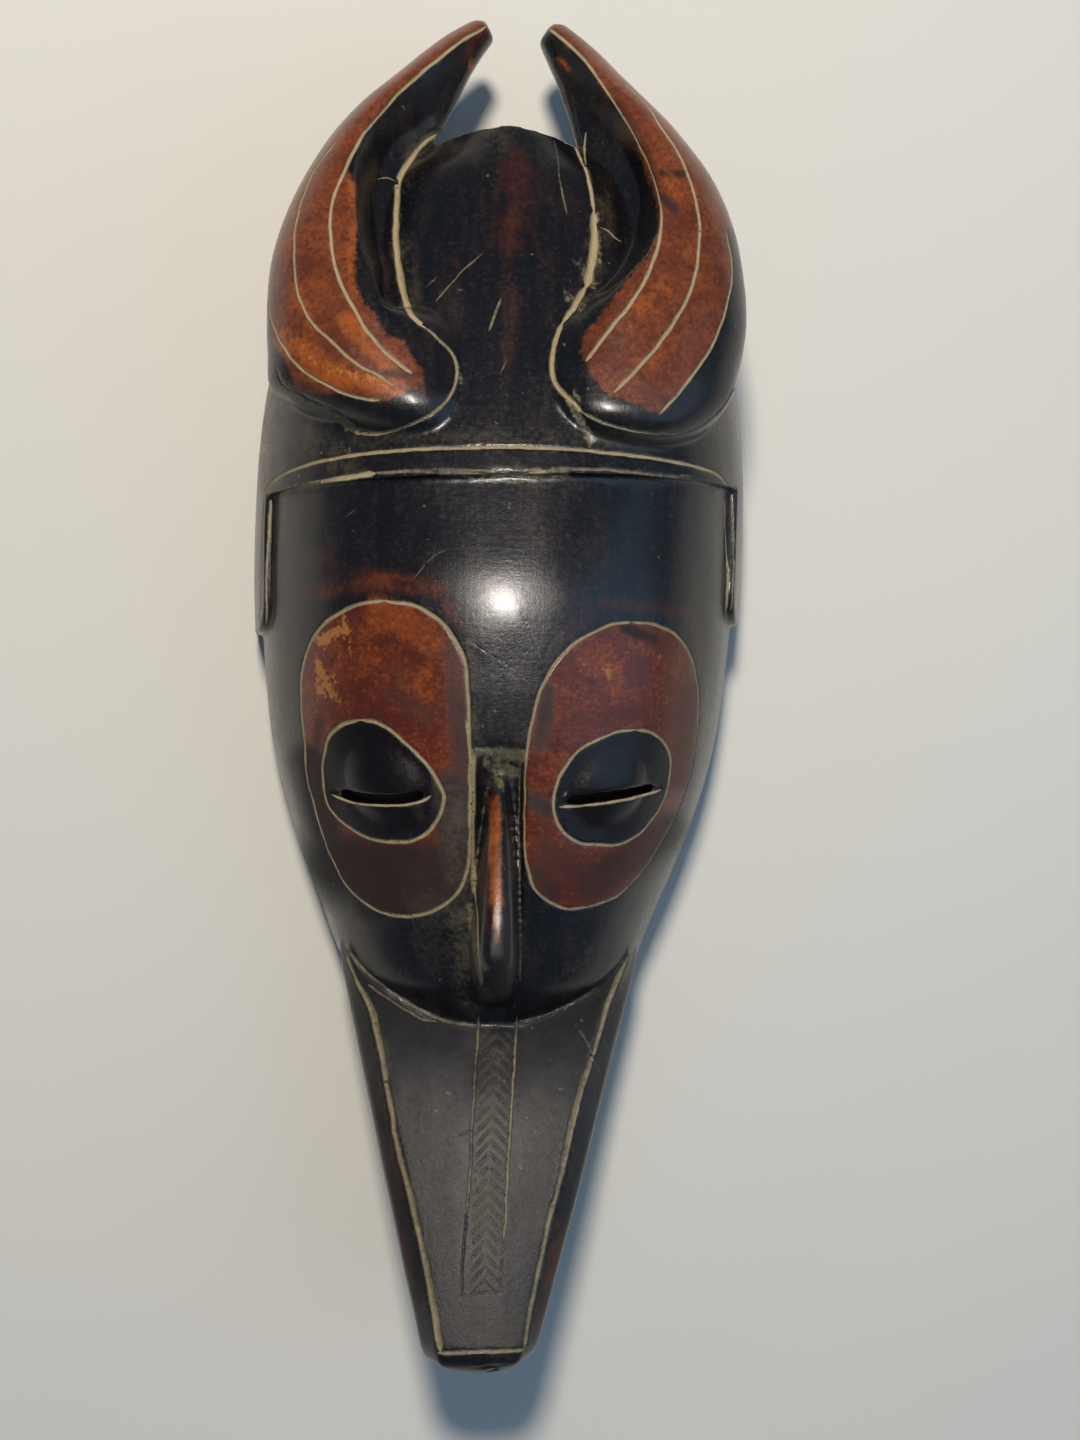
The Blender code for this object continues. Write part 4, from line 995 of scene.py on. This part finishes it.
def close_mesh(mask, grooves, form_piece, sizes):
    """Splits the edges near the lines until they are short, and lays them back on the smooth form."""
    for _ in range(SPLIT_PASSES):
        places = array_of(mask.data.vertices, "co", 3)
        edges = array_of(mask.data.edges, "vertices", 2)
        distance, facts = grooves.near(places)
        clear = np.maximum(distance - facts[:, 0] - EDGE_MARGIN, 0)
        narrow = np.clip(facts[:, 0] / 0.60, 0.70, 1.30)
        wanted = sizes.line_edge * narrow + clear * MM * EDGE_GROWTH
        length = np.linalg.norm(places[edges[:, 0]] - places[edges[:, 1]], axis=1)
        long_ones = length > 1.45 * np.minimum(wanted[edges[:, 0]], wanted[edges[:, 1]])
        take(mask)
        bpy.ops.object.mode_set(mode="EDIT")
        bpy.ops.mesh.select_mode(type="EDGE")
        bpy.ops.mesh.select_all(action="DESELECT")
        bpy.ops.object.mode_set(mode="OBJECT")
        mask.data.edges.foreach_set("select", long_ones)
        bpy.ops.object.mode_set(mode="EDIT")
        bpy.ops.mesh.subdivide(number_cuts=1, ngon=False)
        bpy.ops.mesh.select_all(action="SELECT")
        bpy.ops.mesh.quads_convert_to_tris(quad_method="BEAUTY", ngon_method="BEAUTY")
        bpy.ops.object.mode_set(mode="OBJECT")
    apply_modifier(mask, "SHRINKWRAP", target=form_piece, wrap_method="NEAREST_SURFACEPOINT")
    grooves.draw_in(mask)


def stroke_strength(pixels, strokes):
    """How strongly each pixel lies in the strokes, from 0 to 1."""
    strength = np.zeros(len(pixels))
    for u0, v0, u1, v1, radius, most in strokes:
        start, run = np.array((u0, v0)), np.array((u1 - u0, v1 - v0))
        share = np.clip(((pixels - start) @ run) / max(run @ run, 1e-9), 0, 1)
        away = np.linalg.norm(pixels - start - share[:, None] * run, axis=1)
        strength = np.maximum(strength, most * (1 - eased(away, radius * 0.35, radius * 1.35)))
    return strength


def depth_inside(pixels, outline):
    """Distance in pixels to a closed outline: above 0 inside it and below 0 outside."""
    corners = np.array(outline, float)
    nearest = np.full(len(pixels), 1e9)
    crossings = np.zeros(len(pixels), int)
    for a, b in zip(corners, np.roll(corners, -1, axis=0)):
        run = b - a
        share = np.clip(((pixels - a) @ run) / max(run @ run, 1e-9), 0, 1)
        nearest = np.minimum(nearest, np.linalg.norm(pixels - a - share[:, None] * run, axis=1))
        spans = (a[1] > pixels[:, 1]) != (b[1] > pixels[:, 1])
        if run[1]:
            reach = a[0] + (pixels[:, 1] - a[1]) * run[0] / run[1]
            crossings += spans & (pixels[:, 0] < reach)
    return np.where(crossings % 2 == 1, nearest, -nearest)


def on_a_horn(places):
    """Whether each place lies on one of the horns."""
    inside = np.zeros(len(places), bool)
    for stations in (LEFT_HORN, RIGHT_HORN):
        for at in steps(0.06, 1, 60):
            x, y, half_width, z, rise, depth, _, _ = horn_station(stations, at)
            away = (places - np.array((x, y, z))) / np.array((1, 1, 0.75))
            inside |= np.linalg.norm(away, axis=1) < max(half_width * 1.3, rise * 1.25) + 0.002
    return inside


def facing_camera(places, normals, form):
    """1 where a place faces the camera and nothing stands before it, falling to 0 round the side."""
    towards = np.array(CAMERA_PLACE) - places
    towards /= np.linalg.norm(towards, axis=1)[:, None]
    facing = eased(np.einsum("ij,ij->i", towards, normals), -0.35, 0.0)
    for i in np.nonzero(facing > 0)[0]:
        start = Vector(places[i]) + Vector(normals[i]) * 0.0015
        hit = form.ray_cast(start + Vector(towards[i]) * 0.004, Vector(towards[i]))[0]
        if hit is not None and (hit - start).length > 0.006:
            facing[i] = 0.0
    return facing


def store(mesh, name, values):
    """Keeps one number for each vertex, for the material to read."""
    attribute = mesh.attributes.new(name, "FLOAT", "POINT")
    attribute.data.foreach_set("value", np.asarray(values, np.float32))


def waves(places, sizes):
    """Low waves left by adze and knife, and slight chatter in the hollow."""
    heights = np.empty(len(places))
    for i, place in enumerate(places):
        point = Vector(place)
        broad = noise.noise(point * 45)
        close = noise.noise(point * 130 + Vector((7, 3, 1)))
        heights[i] = broad + 0.35 * close
    return heights * sizes.waviness


def in_hollow(places, wall):
    """1 for a place on the scooped back and its rim, 0 outside."""
    inside = np.zeros(len(places))
    for i, (x, y, z) in enumerate(places):
        half_width, height, squareness = between(HEAD, y)
        reach = (abs(x) / (half_width - wall * 0.5)) ** squareness + (max(z, 0) / (height - wall * 0.5)) ** squareness
        inside[i] = reach < 1 and HOLLOW_ENDS[0] - 0.004 < y < HOLLOW_ENDS[1] + 0.004
    return np.maximum(inside, places[:, 2] < 0.0006)


def chip_depths(places, strength):
    """Broken, crumbly depths where the wood is chipped."""
    depths = np.zeros(len(places))
    for i in np.nonzero(strength > 0.02)[0]:
        point = Vector(places[i])
        rough = 0.55 + 0.9 * noise.noise(point * 420) + 0.4 * noise.noise(point * 1100)
        depths[i] = strength[i] * max(0.0, rough) * 0.0007
    return depths


def engrave(mask, form, grooves, sizes):
    """Presses lines, chips and tool waves into the surface, and notes where stain, dust, wear and painted sheen lie.
    """
    mesh = mask.data
    places = array_of(mesh.vertices, "co", 3)
    normals = array_of(mesh.vertices, "normal", 3)
    pixels = pixels_of(places)
    facing = facing_camera(places, normals, form)
    distance, facts = grooves.near(places)
    across = distance / facts[:, 0]
    groove = np.clip(1 - across, 0, 1) ** 1.15 * facts[:, 1] * MM
    chipped = stroke_strength(pixels, CHIPS) * facing
    sunk = groove + chip_depths(places, chipped) + waves(places, sizes)
    flat = places[:, 2] < 0.0006
    sunk[flat] = 0
    moved = places - normals * sunk[:, None]
    mesh.vertices.foreach_set("co", moved.ravel())
    inner = in_hollow(places, sizes.wall)
    patch = np.maximum(depth_inside(pixels, LEFT_PATCH), depth_inside(pixels, RIGHT_PATCH))
    eye = np.maximum(depth_inside(pixels, LEFT_EYE), depth_inside(pixels, RIGHT_EYE))
    horned = np.maximum(depth_inside(pixels, LEFT_STAIN), depth_inside(pixels, RIGHT_STAIN))
    horns = on_a_horn(places) & (pixels[:, 1] < 440)
    stain = np.where(horns, horned, np.where(facing > 0.5, patch, -20.0))
    store(mesh, "stain", np.clip(stain, -20, 20))
    store(mesh, "eye", np.clip(np.where(facing > 0.5, eye, -20.0), -20, 20))
    store(mesh, "across_line", np.clip(across, 0, 6))
    store(mesh, "line_dust", facts[:, 2])
    store(mesh, "dust_patch", stroke_strength(pixels, DUST_PATCHES) * facing)
    store(mesh, "red_wear", stroke_strength(pixels, RED_WEAR_AND_GLINT) * facing)
    store(mesh, "orange_wear", stroke_strength(pixels, ORANGE_WEAR) * facing)
    store(mesh, "dark_mark", stroke_strength(pixels, DARK_MARKS) * facing)
    store(mesh, "ochre_wear", stroke_strength(pixels, OCHRE_WEAR) * facing)
    # Where the pale film of dust and painted sheen lies
    store(mesh, "film", stroke_strength(pixels, DUST_AND_SHEEN_FILM) * facing)
    store(mesh, "panel", eased(depth_inside(pixels, PANEL), -3, 8) * facing)
    store(mesh, "inner", inner)
    store(mesh, "chipped", chipped)


class Wire:
    """A node's output in a material, with arithmetic that adds Math nodes."""

    def __init__(self, finish, socket):
        self.finish = finish
        self.socket = socket

    def _math(self, operation, first, second=None):
        values = [first] if second is None else [first, second]
        return self.finish.node("ShaderNodeMath", {"operation": operation}, dict(enumerate(values)))

    def __add__(self, other):
        return self._math("ADD", self, other)

    def __radd__(self, other):
        return self._math("ADD", other, self)

    def __sub__(self, other):
        return self._math("SUBTRACT", self, other)

    def __rsub__(self, other):
        return self._math("SUBTRACT", other, self)

    def __mul__(self, other):
        return self._math("MULTIPLY", self, other)

    def __rmul__(self, other):
        return self._math("MULTIPLY", other, self)

    def __truediv__(self, other):
        return self._math("DIVIDE", self, other)

    def at_most(self, other):
        return self._math("MINIMUM", self, other)

    def at_least(self, other):
        return self._math("MAXIMUM", self, other)


class Finish:
    """Builds one material's nodes."""

    def __init__(self, name):
        self.material = bpy.data.materials.new(name)
        self.material.use_nodes = True
        self.tree = self.material.node_tree
        self.shader = self.tree.nodes["Principled BSDF"]
        self.count = 0

    def node(self, kind, settings, values, output=0):
        """Adds a node of a kind, sets its settings, then the values or links of its sockets."""
        made = self.tree.nodes.new(kind)
        made.location = (-2400 + 180 * (self.count % 12), 900 - 220 * (self.count // 12))
        self.count += 1
        for name, value in settings.items():
            if name == "stops":
                self.set_stops(made.color_ramp, value)
            else:
                setattr(made, name, value)
        for name, value in values.items():
            self.feed(made.inputs[name], value)
        return Wire(self, made.outputs[output])

    def set_stops(self, ramp, stops):
        while len(ramp.elements) < len(stops):
            ramp.elements.new(0.5)
        for element, (position, colour) in zip(ramp.elements, stops):
            element.position = position
            element.color = (*colour, 1)

    def feed(self, socket, value):
        if isinstance(value, Wire):
            self.tree.links.new(value.socket, socket)
        elif isinstance(value, tuple) and len(value) == 3 and socket.type == "RGBA":
            socket.default_value = (*value, 1)
        else:
            socket.default_value = value

    def attribute(self, name):
        return self.node("ShaderNodeAttribute", {"attribute_name": name}, {}, "Fac")

    def place(self, axis):
        """One of the piece's own coordinates, in metres."""
        spot = self.node("ShaderNodeTexCoord", {}, {}, "Object")
        return self.node("ShaderNodeSeparateXYZ", {}, {"Vector": spot}, axis)

    def grain(self, scale, detail=3.0, stretch=(1, 1, 1), roughness=0.55, distortion=0.0):
        """Noise over the piece's own coordinates, about 0.5 in the middle. The scale is per metre."""
        place = self.node("ShaderNodeTexCoord", {}, {}, "Object")
        turned = self.node("ShaderNodeMapping", {}, {"Vector": place, "Scale": stretch})
        return self.node(
            "ShaderNodeTexNoise", {},
            {"Vector": turned, "Scale": scale, "Detail": detail, "Roughness": roughness,
             "Distortion": distortion},
        )

    def ramp(self, value, low, high, ease="SMOOTHSTEP"):
        """0 below low, 1 above high and a soft step between."""
        return self.node(
            "ShaderNodeMapRange", {"interpolation_type": ease, "clamp": True} if ease == "LINEAR"
            else {"interpolation_type": ease},
            {"Value": value, "From Min": low, "From Max": high, "To Min": 0.0, "To Max": 1.0},
        )

    def blend(self, first, second, share):
        """One colour fading into another."""
        made = self.tree.nodes.new("ShaderNodeMix")
        made.data_type = "RGBA"
        made.location = (-2400 + 180 * (self.count % 12), 900 - 220 * (self.count // 12))
        self.count += 1
        self.feed(made.inputs[0], share)
        self.feed(made.inputs[6], first)
        self.feed(made.inputs[7], second)
        return Wire(self, made.outputs[2])


def stained_wood(colours):
    """Waxed wood stained black and red brown, with dust in its lines, bare wood where it is rubbed, and painted sheen
    and highlights in places.
    """
    finish = Finish("stained_waxed_wood")
    black, brown_black = tuple(colours.black_wood), tuple(colours.brown_black)
    dark_red, red, patch_red = tuple(colours.dark_red), tuple(colours.red_brown), tuple(colours.patch_red)
    orange, ochre = tuple(colours.orange_brown), tuple(colours.ochre)
    broad = finish.grain(30, 3)
    blotch = finish.grain(120, 4, distortion=0.4)
    streak = finish.grain(75, 5, stretch=(3.0, 0.45, 1.0))
    speck = finish.grain(620, 4, roughness=0.65)
    fine = finish.grain(1900, 2)
    ragged = (blotch - 0.5) * 1.2 + (speck - 0.5) * 0.9

    wood = finish.blend(black, brown_black, finish.ramp(streak * 0.5 + broad * 0.3 + speck * 0.2, 0.44, 0.70))
    scuffed = finish.ramp(speck * 0.5 + fine * 0.3 + streak * 0.2, 0.50, 0.64)
    wood = finish.blend(wood, (0.0230, 0.0205, 0.0215), scuffed * 0.45)
    # Red-brown wear, and along the snout's lower end a painted highlight rim
    red_wear = finish.attribute("red_wear")
    patchy = finish.ramp(streak * 0.5 + blotch * 0.3 + speck * 0.2 + red_wear * 0.22, 0.42, 0.74)
    reddened = finish.ramp(red_wear + ragged * 0.45, 0.05, 0.95) * finish.ramp(red_wear, 0.0, 0.25)
    wood = finish.blend(wood, dark_red, reddened * patchy * 0.9)
    wood = finish.blend(wood, red, finish.ramp(red_wear + ragged * 0.5, 0.62, 1.15) * patchy * 0.7)

    on_horns = finish.ramp(finish.place("Y"), 0.050, 0.064)
    stain = finish.attribute("stain")
    stained = finish.ramp(stain + ragged * (4.5 + on_horns * 4.0), -1.8 - on_horns, 1.8 + on_horns)
    mottled = finish.ramp(broad * 0.35 + blotch * 0.35 + speck * 0.3, 0.36, 0.62)
    brown = finish.blend(dark_red, finish.blend(patch_red, red, on_horns), mottled * 0.75 + 0.25)
    orange_wear = finish.attribute("orange_wear")
    rubbed = finish.ramp(orange_wear + ragged * 0.75, 0.15, 0.95) * finish.ramp(orange_wear, 0.0, 0.20)
    brown = finish.blend(brown, orange, rubbed * (0.42 + on_horns * 0.38))
    ochre_wear = finish.attribute("ochre_wear")
    bared = finish.ramp(ochre_wear + (speck - 0.5) * 1.9 + (blotch - 0.5) * 0.8, 0.42, 0.78)
    bared = bared * finish.ramp(ochre_wear, 0.02, 0.25)
    brown = finish.blend(brown, ochre, bared * 0.70)
    freckle = finish.grain(1050, 4, roughness=0.75)
    flecks = finish.ramp(freckle * 0.5 + speck * 0.5 + (blotch - 0.5) * 0.35, 0.50, 0.66)
    brown = finish.blend(brown, orange, flecks * (0.42 - on_horns * 0.16))
    pits = finish.ramp(1 - freckle * 0.5 - speck * 0.5 + (broad - 0.5) * 0.3, 0.52, 0.66)
    brown = finish.blend(brown, brown_black, pits * 0.50)
    dark = finish.attribute("dark_mark")
    darkened = finish.ramp(dark + ragged * 0.75, 0.10, 0.95) * finish.ramp(dark, 0.0, 0.25)
    brown = finish.blend(brown, brown_black, darkened * 0.95)
    wood = finish.blend(wood, brown, stained)
    wood = finish.blend(wood, orange, rubbed * (1 - stained) * 0.85)
    eye = finish.ramp(finish.attribute("eye"), -0.6, 0.6)
    wood = finish.blend(wood, (0.0016, 0.0014, 0.0018), eye * 0.97)

    panel = finish.attribute("panel")
    # Painted sheen: the snout's flat panel goes from near black at its top to grey lower down, where its sheen lies;
    # the grey is partly a worn film, partly painted sheen
    painted_sheen_down_the_panel = finish.ramp(finish.place("Y") * -1 + (blotch - 0.5) * 0.020, 0.100, 0.138)
    grey_panel_and_painted_sheen = finish.blend((0.0050, 0.0046, 0.0048), (0.0180, 0.0162, 0.0152), painted_sheen_down_the_panel)
    wood = finish.blend(wood, grey_panel_and_painted_sheen, panel * (0.55 + finish.ramp(speck, 0.42, 0.62) * 0.4))

    inner = finish.attribute("inner")
    raw = finish.blend(
        tuple(colours.raw_wood), (0.030, 0.017, 0.010), finish.ramp(streak * 0.6 + blotch * 0.4, 0.40, 0.66)
    )
    wood = finish.blend(wood, raw, inner)

    across = finish.attribute("across_line")
    line_dust = finish.attribute("line_dust")
    flaked = (speck - 0.5) * 0.9 + (blotch - 0.5) * 0.7
    kept = finish.ramp(line_dust + flaked * 0.75, 0.10, 0.62)
    in_line = (1 - finish.ramp(across + flaked * 0.40, 0.58, 0.95)) * kept
    at_edge = (1 - finish.ramp(across + flaked * 0.6, 0.80, 1.30)) * finish.ramp(line_dust + flaked, 0.25, 0.95)
    patch = finish.attribute("dust_patch")
    on_patch = finish.ramp(patch + flaked * 1.1, 0.28, 0.95) * finish.ramp(patch, 0.02, 0.2)
    beside = (1 - finish.ramp(across, 0.9, 2.4)) * line_dust * finish.ramp(speck + blotch, 1.0, 1.22) * 0.35
    # Painted sheen and dust: a pale greyish film laid over the wood
    film = finish.attribute("film") * finish.ramp(speck * 0.5 + blotch * 0.5, 0.38, 0.62)
    wood = finish.blend(wood, tuple(colours.old_dust), film * 0.46)
    dull = (at_edge * 0.75).at_least(beside).at_least(on_patch * 0.8)
    wood = finish.blend(wood, tuple(colours.old_dust), dull)
    bright = in_line.at_least(on_patch * finish.ramp(speck, 0.46, 0.60) * 0.6)
    pale = finish.ramp(line_dust + flaked * 0.8, 0.30, 1.05)
    dust = finish.blend(tuple(colours.old_dust), tuple(colours.dust), pale)
    colour = finish.blend(wood, dust, bright)
    stray = finish.ramp(finish.grain(430, 1), 0.760, 0.790) * (1 - stained) * 0.25
    colour = finish.blend(colour, tuple(colours.dust), stray)
    finish.feed(finish.shader.inputs["Base Color"], colour)

    dusty = bright.at_least(dull).at_least(film * 0.30)
    satin = (panel * 0.95).at_least(inner)
    rough = (speck - 0.5) * 0.16 + (broad - 0.5) * 0.14 + (streak - 0.5) * 0.10 + colours.wax_roughness
    rough = rough + satin * 0.22 + panel * (1 - painted_sheen_down_the_panel) * 0.36 + dark * 0.40
    rough = rough + scuffed * 0.08
    finish.feed(finish.shader.inputs["Roughness"], rough * (1 - dusty) + dusty * 0.85)
    finish.shader.inputs["Coat Roughness"].default_value = 0.20
    finish.feed(finish.shader.inputs["Coat Weight"], (1 - dusty) * (1 - satin) * (1 - eye * 0.7) * (1 - dark) * 0.28)
    finish.shader.inputs["IOR"].default_value = 1.42

    scrape = finish.grain(240, 3, stretch=(0.5, 3.5, 1.0)) + finish.grain(260, 3, stretch=(3.2, 0.6, 1.0))
    height = fine * (0.22 + panel * 0.60) + speck * (0.42 + panel * 0.55) + streak * 0.25 + scrape * 0.22
    height = height + dusty * speck * 0.6
    bump = finish.node(
        "ShaderNodeBump", {}, {"Strength": 0.40, "Distance": 0.0004, "Height": height}, "Normal"
    )
    finish.feed(finish.shader.inputs["Normal"], bump)
    return finish.material


class MASK_OT_carve(bpy.types.Operator):
    """Rough out the mask, engrave it and note where stain, dust, wear and painted sheen lie"""

    bl_idname = "mask.carve"
    bl_label = "Carve the mask"

    def execute(self, context):
        sizes = context.scene.mask_sizes
        form_piece = rough_block(sizes)
        form_piece.name = "smooth_form"
        take(form_piece)
        bpy.ops.object.duplicate()
        mask = bpy.context.object
        mask.name = "mask_carving"
        mask.data.name = "mask_carving"
        share = PLAIN_TRIANGLES / (2 * len(mask.data.polygons))
        apply_modifier(mask, "DECIMATE", ratio=share, use_collapse_triangulate=True)
        form = form_of(form_piece)
        grooves = Grooves(form)
        close_mesh(mask, grooves, form_piece, sizes)
        engrave(mask, form, grooves, sizes)
        bpy.data.objects.remove(form_piece)
        take(mask)
        bpy.ops.object.shade_smooth()
        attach(mask, "root")
        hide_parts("mask")
        return {"FINISHED"}


class MASK_OT_stain(bpy.types.Operator):
    """Give the mask its stain, wax and dust, and its painted sheen"""

    bl_idname = "mask.stain"
    bl_label = "Stain and wax"

    def execute(self, context):
        mask = bpy.data.objects["mask_carving"]
        mask.data.materials.clear()
        mask.data.materials.append(stained_wood(context.scene.mask_colours))
        return {"FINISHED"}


def soft_light(name, place, aim, size, power, colour, flatness=1.0):
    """A round soft light that faces a point, or an oval one."""
    bpy.ops.object.light_add(type="AREA", location=place)
    light = bpy.context.object
    light.name = name
    light.data.shape = "ELLIPSE"
    light.data.size = size
    light.data.size_y = size * flatness
    light.data.energy = power
    light.data.color = colour
    light.rotation_euler = (Vector(aim) - Vector(place)).to_track_quat("-Z", "Y").to_euler()


class MASK_OT_studio(bpy.types.Operator):
    """Lay the floor, hang the lights and set the camera"""

    bl_idname = "mask.studio"
    bl_label = "Floor, lights and camera"

    def execute(self, context):
        settings = context.scene.mask_studio
        rest_all()
        bpy.ops.mesh.primitive_plane_add(size=6.0, location=(0, 0, 0))
        floor = bpy.context.object
        floor.name = "floor"
        paint = Finish("pale_floor")
        finish_colour = paint.blend(
            tuple(settings.floor_colour), tuple(c * 0.96 for c in settings.floor_colour), paint.grain(6, 3)
        )
        paint.feed(paint.shader.inputs["Base Color"], finish_colour)
        paint.shader.inputs["Roughness"].default_value = 0.9
        floor.data.materials.append(paint.material)
        soft_light("shine", (0.036, 0.040, 1.10), (0, 0, 0), 0.18, settings.shine_power, (1.0, 0.93, 0.86))
        context.object.visible_diffuse = False
        soft_light("sheen", (0.01, 0.085, 1.12), (0, 0, 0), 0.84, settings.sheen_power, (1.0, 0.88, 0.82), 0.36)
        context.object.visible_diffuse = False
        soft_light("lamp", (-0.10, 0.60, 1.10), (-0.12, -0.08, 0), 0.22, settings.lamp_power, (1.0, 0.915, 0.78))
        context.object.visible_glossy = False
        soft_light("window", (0.95, -0.16, 0.72), (0, -0.02, 0), 1.20, settings.window_power, (0.42, 0.70, 1.0))
        world = bpy.data.worlds.new("room")
        world.use_nodes = True
        world.node_tree.nodes["Background"].inputs["Color"].default_value = (0.45, 0.68, 1.0, 1)
        world.node_tree.nodes["Background"].inputs["Strength"].default_value = settings.sky_strength
        context.scene.world = world
        context.scene.view_settings.view_transform = "Standard"
        self.place_camera(context)
        return {"FINISHED"}

    def place_camera(self, context):
        lens = FOCAL_PIXELS / max(PHOTO_SIZE) * SENSOR
        bpy.ops.object.camera_add()
        camera = bpy.context.object
        camera.name = "camera"
        camera.data.lens = lens
        camera.data.sensor_width = SENSOR
        turn = Matrix((ACROSS, UPWARDS, -LOOK)).transposed().to_4x4()
        camera.matrix_world = Matrix.Translation(CAMERA_PLACE) @ turn
        context.scene.camera = camera


class MASK_PT_panel(bpy.types.Panel):
    """Sizes, colours and steps of the mask"""

    bl_idname = "MASK_PT_panel"
    bl_label = "Horned mask"
    bl_space_type = "VIEW_3D"
    bl_region_type = "UI"
    bl_category = "Mask"

    def draw(self, context):
        scene = context.scene
        for group in (scene.mask_sizes, scene.mask_colours, scene.mask_studio):
            for name in type(group).__annotations__:
                self.layout.prop(group, name)
        for step in STEPS:
            self.layout.operator(step.bl_idname)


STEPS = (MASK_OT_carve, MASK_OT_stain, MASK_OT_studio)
CLASSES = (CarvingSizes, FinishColours, StudioSettings, *STEPS, MASK_PT_panel)


def register():
    for kind in CLASSES:
        bpy.utils.register_class(kind)
    bpy.types.Scene.mask_sizes = PointerProperty(type=CarvingSizes)
    bpy.types.Scene.mask_colours = PointerProperty(type=FinishColours)
    bpy.types.Scene.mask_studio = PointerProperty(type=StudioSettings)


def unregister():
    del bpy.types.Scene.mask_studio
    del bpy.types.Scene.mask_colours
    del bpy.types.Scene.mask_sizes
    for kind in reversed(CLASSES):
        bpy.utils.unregister_class(kind)


def main():
    register()
    bpy.ops.mask.carve()
    bpy.ops.mask.stain()
    bpy.ops.mask.studio()


if __name__ == "__main__":
    main()
